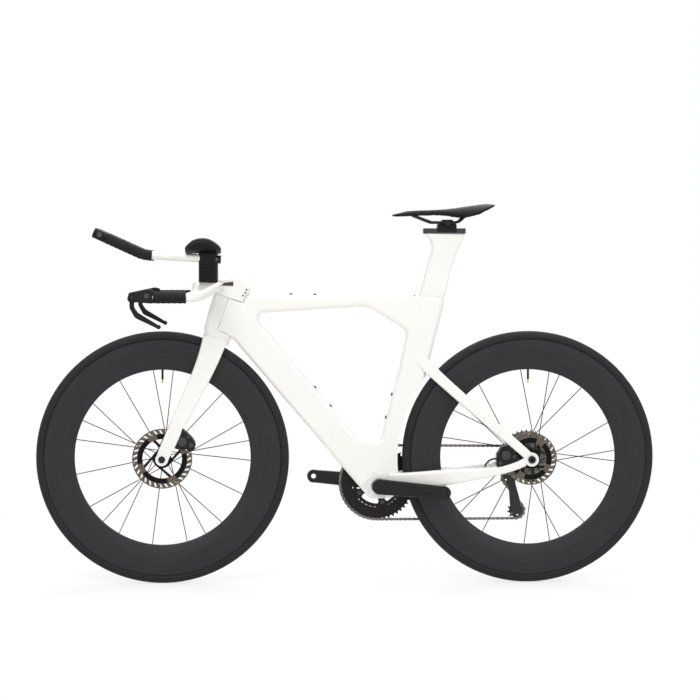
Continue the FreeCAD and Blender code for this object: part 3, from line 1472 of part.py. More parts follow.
front_body, front_pads = make_brake(
    front_axle_x, front_rotor_y, front_rotor_radius,
    [(-452.0, 353.0), (-402.0, 396.0), (-404.0, 420.0), (-436.0, 420.0), (-466.0, 372.0)],
    [6, 9, 9, 9, 8], -56.0, -26.0, (55.0, 43.0))
front_body = front_body.cut(fork)
save("front_caliper", max(front_body.Solids, key=lambda x: x.Volume))
save("front_pad_left", front_pads[0])
save("front_pad_right", front_pads[1])
rear_body, rear_pads = make_brake(
    rear_axle_x, rear_rotor_y, rear_rotor_radius,
    [(398.0, 318.0), (399.0, 352.0), (412.0, 373.0), (428.0, 378.0), (453.0, 352.0),
     (464.0, 336.0), (452.0, 322.0)],
    [6, 8, 8, 8, 8, 6, 6], -72.0, -43.0, (-57.0, 10.0))
rear_body = rear_body.cut(frame)
save("rear_caliper", max(rear_body.Solids, key=lambda x: x.Volume))
save("rear_pad_left", rear_pads[0])
save("rear_pad_right", rear_pads[1])
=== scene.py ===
import math
import bpy
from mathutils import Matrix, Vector


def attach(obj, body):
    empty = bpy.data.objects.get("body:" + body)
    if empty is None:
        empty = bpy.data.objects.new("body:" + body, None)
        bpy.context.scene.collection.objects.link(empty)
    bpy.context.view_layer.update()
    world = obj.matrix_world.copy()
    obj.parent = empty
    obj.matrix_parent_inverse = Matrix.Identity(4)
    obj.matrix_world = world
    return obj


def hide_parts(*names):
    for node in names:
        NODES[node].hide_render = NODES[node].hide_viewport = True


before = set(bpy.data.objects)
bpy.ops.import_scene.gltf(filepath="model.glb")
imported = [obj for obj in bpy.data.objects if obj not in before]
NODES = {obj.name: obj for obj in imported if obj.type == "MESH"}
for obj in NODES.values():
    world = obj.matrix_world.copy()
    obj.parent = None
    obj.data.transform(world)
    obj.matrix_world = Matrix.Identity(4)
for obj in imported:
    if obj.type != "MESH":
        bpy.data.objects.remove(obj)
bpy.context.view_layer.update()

bl_info = {
    "name": "Time Trial Bicycle",
    "version": (1, 0, 0),
    "blender": (4, 5, 0),
    "location": "View3D > Sidebar > Bicycle",
    "description": "Finishes, soft parts and studio for a time trial bicycle",
    "category": "Object",
}

ACROSS = Vector((0.0, 1.0, 0.0))
WHITE = (1, 1, 1, 1)

# Axes that patterns and pieces are centred on
FRONT_AXLE = (-0.491, 0.0, 0.339)
REAR_AXLE = (0.491, 0.0, 0.339)
CRANK_AXIS = (0.08773, 0.0, 0.265)

# Each wheel's end, axle, rotor radius, the rotor's place in Y and the turn of its first mount
WHEELS = (("front", FRONT_AXLE, 0.08, -0.0355, 0.436), ("rear", REAR_AXLE, 0.07, -0.0565, 1.04))

# Plain finishes: the colour by name or value, the two shades that it drifts between, the smoothest
# and the roughest gloss, the scale of the grain and its relief. What is left goes to the shader.
FINISHES = {
    "Pearl paint": dict(
        colour="paint", shades=(1.0, 0.985), gloss=(0.16, 0.24), grain=1400.0, relief=0.012,
        coat=0.7, coat_rough=0.04),
    "Hub shell": dict(gloss=(0.28, 0.42), grain=700.0, metallic=0.3),
    "Axle black": dict(gloss=(0.3, 0.45), specular=0.3),
    "Crank satin black": dict(
        shades=(1.0, 1.6), gloss=(0.26, 0.38), grain=600.0, relief=0.02, coat=0.05, coat_rough=0.2,
        specular=0.2),
    "Chain steel": dict(
        colour="steel", shades=(0.3, 0.55), gloss=(0.26, 0.44), grain=1100.0, relief=0.05,
        metallic=0.95),
    "Dark bolts": dict(colour=(0.06, 0.06, 0.063), gloss=(0.28, 0.4), metallic=0.7),
    "Derailleur black": dict(
        shades=(1.0, 1.8), gloss=(0.28, 0.44), grain=800.0, relief=0.04, specular=0.35),
    "Cage plate": dict(shades=(1.4, 2.6), gloss=(0.26, 0.4), specular=0.4),
    "Pulley resin": dict(shades=(1.2, 1.032), gloss=(0.4, 0.55), grain=700.0, relief=0.05),
    "Cup alloy": dict(colour=(0.08, 0.08, 0.083), gloss=(0.3, 0.42), metallic=0.8),
    "Satin black": dict(
        shades=(0.4, 0.8), gloss=(0.32, 0.44), grain=800.0, relief=0.04, specular=0.16),
    "Lever black": dict(
        shades=(0.5, 0.9), gloss=(0.24, 0.36), grain=700.0, relief=0.02, coat=0.05, coat_rough=0.15,
        specular=0.2),
    "Friction pads": dict(
        colour=(0.12, 0.105, 0.09), gloss=(0.7, 0.85), grain=500.0, relief=0.2),
    "Button rubber": dict(
        colour=(0.035, 0.035, 0.037), gloss=(0.45, 0.6), grain=600.0, relief=0.08),
    "Rail black": dict(shades=(1.2, 1.032), gloss=(0.25, 0.36), relief=0.02, metallic=0.5),
    "Caliper black": dict(shades=(0.4, 0.9), gloss=(0.26, 0.42), specular=0.25),
    # Caps: the same black as the body but lighter, as a painted highlight on the raised bosses
    "Caliper caps": dict(shades=(2.4, 4.0), gloss=(0.2, 0.36), specular=0.5),
    "Hose sleeve": dict(
        colour="rubber", shades=(1.0, 1.5), gloss=(0.35, 0.5), grain=1000.0, relief=0.05,
        specular=0.3),
}


class BicycleFinish(bpy.types.PropertyGroup):
    """Colours of the painted, rubber and metal surfaces."""

    paint: bpy.props.FloatVectorProperty(
        name="Paint", description="Frame, fork and bars", subtype="COLOR", size=3,
        default=(0.84, 0.825, 0.785))
    carbon: bpy.props.FloatVectorProperty(
        name="Carbon", description="Rims", subtype="COLOR", size=3,
        default=(0.012, 0.012, 0.0135))
    rubber: bpy.props.FloatVectorProperty(
        name="Rubber", description="Tyres, hoods, tape and hose", subtype="COLOR", size=3,
        default=(0.011, 0.011, 0.0118))
    black: bpy.props.FloatVectorProperty(
        name="Black", description="Cranks, calipers, clamps and other black parts",
        subtype="COLOR", size=3, default=(0.008, 0.008, 0.0086))
    steel: bpy.props.FloatVectorProperty(
        name="Steel", description="Chain, rings and sprockets", subtype="COLOR", size=3,
        default=(0.42, 0.40, 0.37))
    cloth: bpy.props.FloatVectorProperty(
        name="Pad cloth", description="Arm pads", subtype="COLOR", size=3,
        default=(0.015, 0.015, 0.0158))
    cover: bpy.props.FloatVectorProperty(
        name="Saddle cover", description="Saddle's synthetic leather", subtype="COLOR", size=3,
        default=(0.0075, 0.0075, 0.008))


class BicycleSizes(bpy.types.PropertyGroup):
    """Sizes of the pieces that are modelled here."""

    tape_step: bpy.props.FloatProperty(
        name="Tape step", description="Height of the edge where tape lies on tape",
        default=0.0011, unit="LENGTH")
    pad_swell: bpy.props.FloatProperty(
        name="Pad swell", description="Furthest that an arm pad's cover swells",
        default=0.002, unit="LENGTH")
    saddle_swell: bpy.props.FloatProperty(
        name="Saddle swell", description="Furthest that the saddle's cover swells",
        default=0.0015, unit="LENGTH")
    hose_width: bpy.props.FloatProperty(
        name="Hose width", description="Diameter of the rear brake's hose",
        default=0.005, unit="LENGTH")


class BicycleStage(bpy.types.PropertyGroup):
    """Light and camera."""

    camera_place: bpy.props.FloatVectorProperty(
        name="Camera", description="Where the camera stands", subtype="TRANSLATION", size=3,
        default=(-0.25, -5.0, 0.85), unit="LENGTH")
    camera_aim: bpy.props.FloatVectorProperty(
        name="Aim", description="Point that the camera is turned to", subtype="TRANSLATION",
        size=3, default=(-0.129, 0.0, 0.6272), unit="LENGTH")
    camera_shift: bpy.props.FloatProperty(
        name="Shift", description="Sideways shift of the picture, as a share of its width",
        default=0.0748)
    lens: bpy.props.FloatProperty(
        name="Lens", description="Focal length in millimetres", default=96.0)
    lamp: bpy.props.FloatProperty(
        name="Lamp", description="Strength of the soft lamps", default=101.0, unit="POWER")
    world: bpy.props.FloatProperty(
        name="Room", description="Strength of the light from all round", default=0.3)


def tone(name):
    return tuple(getattr(bpy.context.scene.bicycle_finish, name))


def sizes():
    return bpy.context.scene.bicycle_sizes


# Shader helpers
def node(tree, kind, values=None, **settings):
    """New shader node with socket values by name or index, and settings by attribute."""
    made = tree.nodes.new(kind)
    for key, value in settings.items():
        setattr(made, key, value)
    for key, value in (values or {}).items():
        made.inputs[key].default_value = value
    return made


def texture(tree, kind, vector, values, **settings):
    """Outputs of a texture that reads a coordinate."""
    made = node(tree, "ShaderNodeTex" + kind, values, **settings)
    tree.links.new(vector, made.inputs["Vector"])
    return made.outputs


def split(tree, vector):
    """X, Y and Z of a coordinate."""
    made = node(tree, "ShaderNodeSeparateXYZ")
    tree.links.new(vector, made.inputs[0])
    return made.outputs


def feed(tree, socket, value):
    """Link a source to a socket, or set the socket's number or colour."""
    if isinstance(value, bpy.types.NodeSocket):
        tree.links.new(value, socket)
    else:
        socket.default_value = (*value, 1.0) if isinstance(value, tuple) else value


def calc(tree, operation, *values):
    made = node(tree, "ShaderNodeMath", operation=operation)
    for socket, value in zip(made.inputs, values):
        feed(tree, socket, value)
    return made.outputs[0]


def times(tree, first, second):
    return calc(tree, "MULTIPLY", first, second)


def ripple(tree, value, rate):
    return calc(tree, "SINE", times(tree, value, rate))


def mix(tree, factor, first, second):
    made = node(tree, "ShaderNodeMix", data_type="RGBA")
    for index, value in ((0, factor), (6, first), (7, second)):
        feed(tree, made.inputs[index], value)
    return made.outputs[2]


def span(tree, value, low, high, new_low, new_high):
    made = node(tree, "ShaderNodeMapRange", {1: low, 2: high, 3: new_low, 4: new_high})
    tree.links.new(value, made.inputs[0])
    return made.outputs[0]


def new_group(name, inputs, outputs):
    """Empty shader group with its sockets; inputs are (name, type, default)."""
    tree = bpy.data.node_groups.new(name, "ShaderNodeTree")
    for label, kind, default in inputs:
        socket = tree.interface.new_socket(label, in_out="INPUT", socket_type=kind)
        if default is not None:
            socket.default_value = default
    for label, kind in outputs:
        tree.interface.new_socket(label, in_out="OUTPUT", socket_type=kind)
    return tree, tree.nodes.new("NodeGroupInput").outputs, tree.nodes.new("NodeGroupOutput").inputs


def make_surface_group():
    """Colour drift, gloss drift and fine relief that every finish shares."""
    grey = (0.5, 0.5, 0.5, 1)
    tree, given, result = new_group(
        "Surface drift",
        [("Vector", "NodeSocketVector", None), ("Colour", "NodeSocketColor", grey),
         ("Second colour", "NodeSocketColor", grey),
         ("Drift scale", "NodeSocketFloat", 6.0), ("Grain scale", "NodeSocketFloat", 900.0),
         ("Smooth", "NodeSocketFloat", 0.3), ("Rough", "NodeSocketFloat", 0.4)],
        [("Colour", "NodeSocketColor"), ("Roughness", "NodeSocketFloat"),
         ("Height", "NodeSocketFloat")])
    link = tree.links.new
    drift = node(tree, "ShaderNodeTexNoise", {"Detail": 4.0, "Roughness": 0.6})
    grain = node(tree, "ShaderNodeTexNoise", {"Detail": 3.0, "Roughness": 0.55})
    for made, scale in ((drift, "Drift scale"), (grain, "Grain scale")):
        link(given["Vector"], made.inputs["Vector"])
        link(given[scale], made.inputs["Scale"])
    soft = span(tree, drift.outputs[0], 0.35, 0.65, 0.0, 1.0)
    link(mix(tree, soft, given["Colour"], given["Second colour"]), result["Colour"])
    both = calc(tree, "ADD", times(tree, soft, 0.6), times(tree, grain.outputs[0], 0.4))
    gloss = node(tree, "ShaderNodeMapRange")
    link(both, gloss.inputs[0])
    link(given["Smooth"], gloss.inputs[3])
    link(given["Rough"], gloss.inputs[4])
    link(gloss.outputs[0], result["Roughness"])
    link(grain.outputs[0], result["Height"])


def make_wheel_group():
    """Radius, turn and side of a point about an axle, for patterns that go round it."""
    tree, given, result = new_group(
        "Around the axle", [("Vector", "NodeSocketVector", None)],
        [("Radius", "NodeSocketFloat"), ("Turn", "NodeSocketFloat"), ("Side", "NodeSocketFloat")])
    x, y, z = split(tree, given[0])
    squares = calc(tree, "ADD", times(tree, x, x), times(tree, z, z))
    tree.links.new(calc(tree, "SQRT", squares), result["Radius"])
    tree.links.new(calc(tree, "ARCTAN2", z, x), result["Turn"])
    tree.links.new(y, result["Side"])


def new_material(name, centre=(0.0, 0.0, 0.0), metallic=0.0, coat=0.0, coat_rough=0.05,
                 specular=0.5, sheen=0.0):
    """Material, its tree, its shader and a coordinate about a point."""
    made = bpy.data.materials.new(name)
    made.use_nodes = True
    tree = made.node_tree
    shader = tree.nodes["Principled BSDF"]
    for key, value in (
            ("Metallic", metallic), ("Coat Weight", coat), ("Coat Roughness", coat_rough),
            ("Specular IOR Level", specular), ("Sheen Weight", sheen)):
        shader.inputs[key].default_value = value
    place = node(tree, "ShaderNodeTexCoord")
    shift = node(tree, "ShaderNodeMapping", {"Location": tuple(-c for c in centre)})
    tree.links.new(place.outputs["Object"], shift.inputs["Vector"])
    return made, tree, shader, shift.outputs[0]


def add_group(tree, name, values, vector):
    """Outputs of one of the shared groups."""
    made = node(tree, "ShaderNodeGroup")
    made.node_tree = bpy.data.node_groups[name]
    tree.links.new(vector, made.inputs["Vector"])
    for key, value in values.items():
        feed(tree, made.inputs[key], value)
    return made.outputs


def add_drift(tree, shader, vector, gloss, grain, shades=None, scale=None):
    """Shared surface drift, which sets the shader's roughness; shades are two colours."""
    values = {"Grain scale": grain, "Smooth": gloss[0], "Rough": gloss[1]}
    if shades:
        values["Colour"], values["Second colour"] = shades
    if scale:
        values["Drift scale"] = scale
    made = add_group(tree, "Surface drift", values, vector)
    tree.links.new(made["Roughness"], shader.inputs["Roughness"])
    return made


def set_base(tree, shader, colour):
    tree.links.new(colour, shader.inputs["Base Color"])


def add_bump(tree, shader, height, strength, distance, before=None):
    made = node(tree, "ShaderNodeBump", {"Strength": strength, "Distance": distance})
    tree.links.new(height, made.inputs["Height"])
    if before:
        tree.links.new(before, made.inputs["Normal"])
    tree.links.new(made.outputs[0], shader.inputs["Normal"])
    return made.outputs[0]


def shade(colour, factor):
    return tuple(min(1.0, c * factor) for c in colour)


def plain_finish(name, gloss, colour="black", shades=(1.0, 0.86), grain=900.0, relief=0.03,
                 **constants):
    """A moulded, painted or metal surface."""
    base = tone(colour) if isinstance(colour, str) else colour
    made, tree, shader, vector = new_material(name, **constants)
    drift = add_drift(tree, shader, vector, gloss, grain, [shade(base, s) for s in shades])
    set_base(tree, shader, drift["Colour"])
    add_bump(tree, shader, drift["Height"], relief, 0.0002)
    return made


def finish(name):
    return plain_finish(name, **FINISHES[name])


def dress(names, material):
    """Give carried-over nodes a finish."""
    for name in names:
        slots = NODES[name].data.materials
        slots.clear()
        slots.append(material)


def asks_background(tree):
    """1 for camera, glossy and transmission rays, which see the white of the studio."""
    rays = node(tree, "ShaderNodeLightPath").outputs
    seen = calc(tree, "MAXIMUM", rays["Is Camera Ray"], rays["Is Glossy Ray"])
    return calc(tree, "MAXIMUM", seen, rays["Is Transmission Ray"])


# Modelling helpers
def mode(name):
    bpy.ops.object.mode_set(mode=name)


def select_only(obj):
    bpy.ops.object.select_all(action="DESELECT")
    obj.select_set(True)
    bpy.context.view_layer.objects.active = obj


def settle(obj, name):
    """Name a new piece and put its place into its mesh."""
    obj.name = name
    obj.data.name = name
    select_only(obj)
    bpy.ops.object.transform_apply(location=True, rotation=True, scale=True)
    return obj


def use_modifier(obj, kind, **settings):
    made = obj.modifiers.new(kind.title(), kind)
    for key, value in settings.items():
        setattr(made, key, value)
    select_only(obj)
    bpy.ops.object.modifier_apply(modifier=made.name)


def merge_points(reach):
    """Merge the active mesh's points that lie closer than a reach."""
    mode("EDIT")
    bpy.ops.mesh.select_all(action="SELECT")
    bpy.ops.mesh.remove_doubles(threshold=reach)
    mode("OBJECT")


def face_outward():
    """Turn the active mesh's normals outward."""
    mode("EDIT")
    bpy.ops.mesh.select_all(action="SELECT")
    bpy.ops.mesh.normals_make_consistent(inside=False)
    mode("OBJECT")


def smooth_below(degrees):
    """Shade the active mesh smooth, apart from edges with more of an angle."""
    bpy.ops.object.shade_smooth_by_angle(angle=math.radians(degrees))


def copied_solid(source):
    """A merged copy of a CAD node, to be shaped into a new piece."""
    obj = bpy.data.objects.new("copy", NODES[source].data.copy())
    bpy.context.scene.collection.objects.link(obj)
    obj.data.materials.clear()
    select_only(obj)
    merge_points(0.00002)
    return obj


def add_material(obj, material):
    obj.data.materials.clear()
    obj.data.materials.append(material)


def pick(kind, parts, wanted):
    """Select some edges or faces of the active mesh, and stay in edit mode."""
    mode("EDIT")
    bpy.ops.mesh.select_mode(type=kind)
    bpy.ops.mesh.select_all(action="DESELECT")
    mode("OBJECT")
    for part in parts:
        part.select = wanted(part)
    mode("EDIT")


def long_cylinder(around, rings, ends):
    """Cylinder about Z, one unit long and cut across into rings, to be laid along a route."""
    bpy.ops.mesh.primitive_cylinder_add(
        vertices=around, radius=1.0, depth=1.0, end_fill_type=ends)
    obj = bpy.context.object

    def upright(edge):
        a, b = (obj.data.vertices[i].co for i in edge.vertices)
        return abs(a.z - b.z) > 0.5

    pick("EDGE", obj.data.edges, upright)
    bpy.ops.mesh.subdivide(number_cuts=rings)
    mode("OBJECT")
    return obj


def flat_sheet(columns, rows):
    """Grid of unit size, to be laid out by its columns and rows."""
    bpy.ops.mesh.primitive_grid_add(x_subdivisions=columns, y_subdivisions=rows, size=1.0)
    return bpy.context.object


def cut_cells(sheet, columns, rows, hole):
    """Delete the cells of a sheet that lie in a hole, given by column and row."""
    def in_hole(face):
        return hole(int((face.center.x + 0.5) * columns), int((face.center.y + 0.5) * rows))

    pick("FACE", sheet.data.polygons, in_hole)
    bpy.ops.mesh.delete(type="FACE")
    mode("OBJECT")


def join(pieces, name):
    bpy.ops.object.select_all(action="DESELECT")
    for piece in pieces:
        piece.select_set(True)
    bpy.context.view_layer.objects.active = pieces[0]
    bpy.ops.object.join()
    return settle(pieces[0], name)


def plate(points, low, high, edge):
    """Flat piece with an outline in X and Z, between two places in Y, with rounded edges."""
    bpy.ops.mesh.primitive_circle_add(vertices=len(points), radius=1.0, fill_type="NGON")
    obj = bpy.context.object
    for vertex, point in zip(obj.data.vertices, points):
        vertex.co = (point[0], (low + high) / 2, point[1])
    use_modifier(obj, "SOLIDIFY", thickness=high - low, offset=0.0)
    use_modifier(obj, "BEVEL", width=edge, segments=3, limit_method="ANGLE",
                 angle_limit=math.radians(20))
    face_outward()
    smooth_below(35)
    return obj


def boss(x, z, radius, low, high, edge):
    """Round plate, such as a cap on a caliper."""
    sides = 40
    turns = [2 * math.pi * i / sides for i in range(sides)]
    outline = [(x + radius * math.cos(a), z + radius * math.sin(a)) for a in turns]
    return plate(outline, low, high, edge)


class BICYCLE_OT_paint(bpy.types.Operator):
    """Paint the frame, fork, bars and post"""

    bl_idname = "bicycle.paint"
    bl_label = "Paint"

    def execute(self, context):
        plug_front = -0.3455
        rail_foot = 0.93845
        dress(["frame", "fork", "base_bar", "stem_cover"], finish("Pearl paint"))
        made, tree, shader, _, drift, _ = self.part_black("Extension paint", 0, plug_front)
        add_bump(tree, shader, drift["Height"], 0.012, 0.0002)
        dress(["extensions"], made)
        made, tree, shader, vector, drift, rail = self.part_black(
            "Post paint and rail", 2, rail_foot)
        rough = calc(tree, "ADD", drift["Roughness"], times(tree, rail, 0.22))
        tree.links.new(rough, shader.inputs["Roughness"])
        ticks = texture(tree, "Wave", vector, {"Scale": 55.0}, bands_direction="X")
        add_bump(tree, shader, times(tree, ticks[1], rail), 0.25, 0.0006)
        dress(["seatpost"], made)
        return {"FINISHED"}

    def part_black(self, name, axis, start):
        """Paint that gives way to black beyond a place on an axis."""
        made, tree, shader, vector = new_material(name, coat=0.5)
        row = FINISHES["Pearl paint"]
        shades = [shade(tone("paint"), s) for s in row["shades"]]
        drift = add_drift(tree, shader, vector, row["gloss"], row["grain"], shades)
        beyond = calc(tree, "GREATER_THAN", split(tree, vector)[axis], start)
        set_base(tree, shader, mix(tree, beyond, drift["Colour"], tone("black")))
        return made, tree, shader, vector, drift, beyond


class BICYCLE_OT_wheels(bpy.types.Operator):
    """Finish rims, tyres, spokes and hubs, and build the brake rotors"""

    bl_idname = "bicycle.wheels"
    bl_label = "Wheels"

    def execute(self, context):
        for end, centre, radius, across, mount in WHEELS:
            self.rim(end, centre)
            self.tyre(end, centre)
            self.spokes(end, centre)
            self.rotor(end, Vector((centre[0], across, centre[2])), radius, mount)
        dress(["front_hub", "rear_hub"], finish("Hub shell"))
        dress(["front_axle", "rear_axle"], finish("Axle black"))
        return {"FINISHED"}

    def rim(self, end, centre):
        """Carbon with fibres laid round the axle."""
        carbon = tone("carbon")
        made, tree, shader, vector = new_material(
            f"Rim carbon {end}", centre, coat=0.06, coat_rough=0.25, specular=0.26)
        around = add_group(tree, "Around the axle", {}, vector)
        streaks = node(tree, "ShaderNodeCombineXYZ")
        tree.links.new(times(tree, around["Radius"], 240.0), streaks.inputs[0])
        tree.links.new(times(tree, around["Turn"], 3.0), streaks.inputs[1])
        tree.links.new(around["Side"], streaks.inputs[2])
        fibre = texture(tree, "Noise", streaks.outputs[0], {"Scale": 1.0, "Detail": 5.0})
        weave = span(tree, fibre[0], 0.3, 0.7, 0.0, 1.0)
        set_base(tree, shader, mix(tree, weave, carbon, shade(carbon, 1.7)))
        add_drift(tree, shader, vector, (0.34, 0.46), 500.0)
        add_bump(tree, shader, weave, 0.05, 0.0002)
        dress([f"{end}_rim"], made)

    def tyre(self, end, centre):
        """Rubber with fine rings on its walls and a cut pattern on its tread."""
        tread_edge = 0.3345
        rubber = tone("rubber")
        made, tree, shader, vector = new_material(f"Tyre rubber {end}", centre, specular=0.22)
        around = add_group(tree, "Around the axle", {}, vector)
        drift = add_drift(tree, shader, vector, (0.55, 0.75), 1600.0,
                          (rubber, shade(rubber, 1.5)), 14.0)
        tread = calc(tree, "GREATER_THAN", around["Radius"], tread_edge)
        set_base(tree, shader, mix(tree, tread, drift["Colour"], shade(rubber, 1.9)))
        cuts = ripple(tree, around["Turn"], 520.0)
        rows = ripple(tree, around["Side"], 1900.0)
        pattern = times(tree, times(tree, cuts, rows), tread)
        rings = ripple(tree, around["Radius"], 2600.0)
        wall = times(tree, rings, calc(tree, "SUBTRACT", 1.0, tread))
        height = calc(tree, "ADD", pattern, times(tree, wall, 0.4))
        before = add_bump(tree, shader, drift["Height"], 0.2, 0.0003)
        add_bump(tree, shader, height, 0.25, 0.0004, before)
        dress([f"{end}_tyre"], made)

    def spokes(self, end, centre):
        """Black spokes, and a valve with a brass tip above the axle."""
        half_width = 0.0022
        tip_foot, tip_end = 0.199, 0.2094
        brass = (0.55, 0.38, 0.14)
        made, tree, shader, vector = new_material(f"Spokes and valve {end}", centre, metallic=0.6)
        around = add_group(tree, "Around the axle", {}, vector)
        x, y, z = split(tree, vector)
        near, side = (calc(tree, "LESS_THAN", calc(tree, "ABSOLUTE", a), half_width)
                      for a in (x, y))
        high = calc(tree, "GREATER_THAN", z, tip_foot)
        low = calc(tree, "LESS_THAN", z, tip_end)
        tip = times(tree, times(tree, near, side), times(tree, high, low))
        set_base(tree, shader, mix(tree, tip, shade(tone("black"), 1.6), brass))
        add_drift(tree, shader, vector, (0.3, 0.42), 900.0)
        threads = ripple(tree, around["Radius"], 7000.0)
        add_bump(tree, shader, times(tree, threads, tip), 0.3, 0.0003)
        dress([f"{end}_spokes"], made)

    def rotor(self, end, centre, radius, mount):
        """Brake disc: slotted track, black fins, four mounts and arms that leave a core aslant."""
        def place(reach, turn):
            return centre + Vector((reach * math.cos(turn), 0.0, reach * math.sin(turn)))

        fins = radius - 0.0275
        slots = round(radius * 390)
        cells, open_cells, open_rows, lean = 6, 2, (3, 4), 8.2
        insets = (0.014, 0.0128, 0.008, 0.0033, 0.0018, 0.0)
        track = (fins, fins + 0.0065, *(radius - inset for inset in insets))
        core, core_rows = 0.0212, (0.0172, 0.021, 0.0252)
        seat = fins + 0.0018
        arm_width, arm_waist, arm_thick = 0.0086, 0.0022, 0.0015
        pieces = [
            self.ring(place, cells * slots, track, lean,
                      lambda column, row: column % cells < open_cells and row in open_rows),
            self.ring(place, 72, core_rows, 0.0, lambda column, row: False)]
        for number in range(4):
            turn = mount + number * math.pi / 2
            foot = place(core, turn - math.acos(core / seat))
            run = place(seat, turn) - foot
            aside = Vector((run.z, 0.0, -run.x)).normalized()
            arm = flat_sheet(10, 2)
            for vertex in arm.data.vertices:
                share = vertex.co.x + 0.5
                width = arm_width - arm_waist * math.sin(math.pi * share)
                vertex.co = foot + run * share + aside * (vertex.co.y * width)
            use_modifier(arm, "SOLIDIFY", thickness=arm_thick, offset=0.0)
            pieces.append(arm)
        disc = join(pieces, f"{end}_rotor_disc")
        face_outward()
        smooth_below(35)
        add_material(disc, self.disc_metal(end, centre, radius, mount))
        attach(disc, f"{end}_wheel")
        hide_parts(f"{end}_rotor")

    def ring(self, place, columns, radii, lean, hole):
        """Flat ring from rows of points, with holes whose sides lean as they go outward."""
        rows = len(radii) - 1
        sheet = flat_sheet(columns, rows)
        cut_cells(sheet, columns, rows, hole)
        for vertex in sheet.data.vertices:
            reach = radii[round((vertex.co.y + 0.5) * rows)]
            turn = (vertex.co.x + 0.5) * 2 * math.pi
            vertex.co = place(reach, turn + lean * (reach - radii[0]))
        merge_points(0.00001)
        use_modifier(sheet, "SOLIDIFY", thickness=0.0018, offset=0.0)
        return sheet

    def disc_metal(self, end, centre, radius, mount):
        """Warm brushed steel on the track and the mounts' seats, black elsewhere."""
        track_depth, seat_depth, seat_edge = 0.0138, 0.028, 0.67
        made, tree, shader, vector = new_material(f"Rotor {end}", centre, metallic=0.9)
        around = add_group(tree, "Around the axle", {}, vector)
        reach = around["Radius"]
        lines = node(tree, "ShaderNodeCombineXYZ")
        tree.links.new(times(tree, reach, 4200.0), lines.inputs[0])
        brushed = texture(tree, "Noise", lines.outputs[0], {"Scale": 1.0, "Detail": 2.0})[0]
        track = calc(tree, "GREATER_THAN", reach, radius - track_depth)
        turned = calc(tree, "SUBTRACT", around["Turn"], mount)
        near = calc(tree, "COSINE", times(tree, turned, 4.0))
        seats = times(tree, calc(tree, "GREATER_THAN", near, seat_edge),
                      calc(tree, "GREATER_THAN", reach, radius - seat_depth))
        bare = calc(tree, "MAXIMUM", track, seats)
        warm = mix(tree, brushed, (0.085, 0.072, 0.058), (0.17, 0.14, 0.108))
        set_base(tree, shader, mix(tree, bare, tone("black"), warm))
        tree.links.new(span(tree, brushed, 0.2, 0.8, 0.24, 0.42), shader.inputs["Roughness"])
        add_bump(tree, shader, brushed, 0.14, 0.0002)
        return made


class BICYCLE_OT_drive(bpy.types.Operator):
    """Finish cranks, rings, chain and sprockets, and complete the derailleurs"""

    bl_idname = "bicycle.drive"
    bl_label = "Drive"

    def execute(self, context):
        cage = finish("Cage plate")
        dress(["derailleur_cage"], cage)
        for name, nodes in (
                ("Crank satin black", ("crank_left", "crank_right")),
                ("Chain steel", ("chain",)),
                ("Dark bolts", ("chainring_bolts", "frame_screws", "cockpit_screws")),
                ("Derailleur black", (
                    "derailleur_upper_knuckle", "derailleur_outer_link", "derailleur_inner_link",
                    "derailleur_lower_knuckle", "front_derailleur")),
                ("Pulley resin", ("guide_pulley", "tension_pulley")),
                ("Cup alloy", ("bottom_bracket", "headset_bearings", "seatpost_wedge"))):
            dress(nodes, finish(name))
        dress(["chainrings"], self.turned("Ring", CRANK_AXIS, (0.025, 0.075), 0.38))
        dress(["cassette"], self.turned("Sprockets", REAR_AXLE, (0.42, 0.85), 0.26))
        self.shift_plates(cage)
        self.cage_web(cage)
        return {"FINISHED"}

    def shift_plates(self, material):
        """The front derailleur's cage with its front part lowered."""
        front_of, top = 0.108, 0.3755
        shift = copied_solid("front_derailleur_cage")
        for vertex in shift.data.vertices:
            if vertex.co.x < front_of:
                vertex.co.z = min(vertex.co.z, top)
        shift = settle(shift, "front_derailleur_plates")
        add_material(shift, material)
        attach(shift, "shift_cage")
        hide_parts("front_derailleur_cage")

    def cage_web(self, material):
        """Web in the opening of the cage's inner plate, a little larger so that it is held."""
        guide = Vector((0.452, 0.277))
        tension = Vector((0.469569, 0.185675))
        low, high, edge = 0.0592, 0.0604, 0.0002
        along = (tension - guide).normalized()
        across = Vector((along.y, -along.x))
        corners = ((19.6, -4.3), (23.7, 4.3), (48, 4.3), (79.4, 8.3), (79.4, -9.3), (60, -9.3))
        points = [guide + along * (a / 1000) + across * (b / 1000) for a, b in corners]
        web = settle(plate(points, low, high, edge), "derailleur_cage_web")
        add_material(web, material)
        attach(web, "cage")

    def turned(self, name, centre, shades, rough):
        """Steel in two shades, with fine lines left by turning about an axis."""
        made, tree, shader, vector = new_material(f"{name} metal", centre, metallic=0.9)
        around = add_group(tree, "Around the axle", {}, vector)
        lines = node(tree, "ShaderNodeCombineXYZ")
        tree.links.new(times(tree, around["Radius"], 2600.0), lines.inputs[0])
        tree.links.new(around["Turn"], lines.inputs[1])
        brushed = texture(tree, "Noise", lines.outputs[0], {"Scale": 1.0, "Detail": 3.0})[0]
        dark, light = (shade(tone("steel"), s) for s in shades)
        set_base(tree, shader, mix(tree, brushed, dark, light))
        tree.links.new(span(tree, brushed, 0.2, 0.8, rough - 0.05, rough + 0.12),
                       shader.inputs["Roughness"])
        add_bump(tree, shader, brushed, 0.08, 0.0002)
        return made


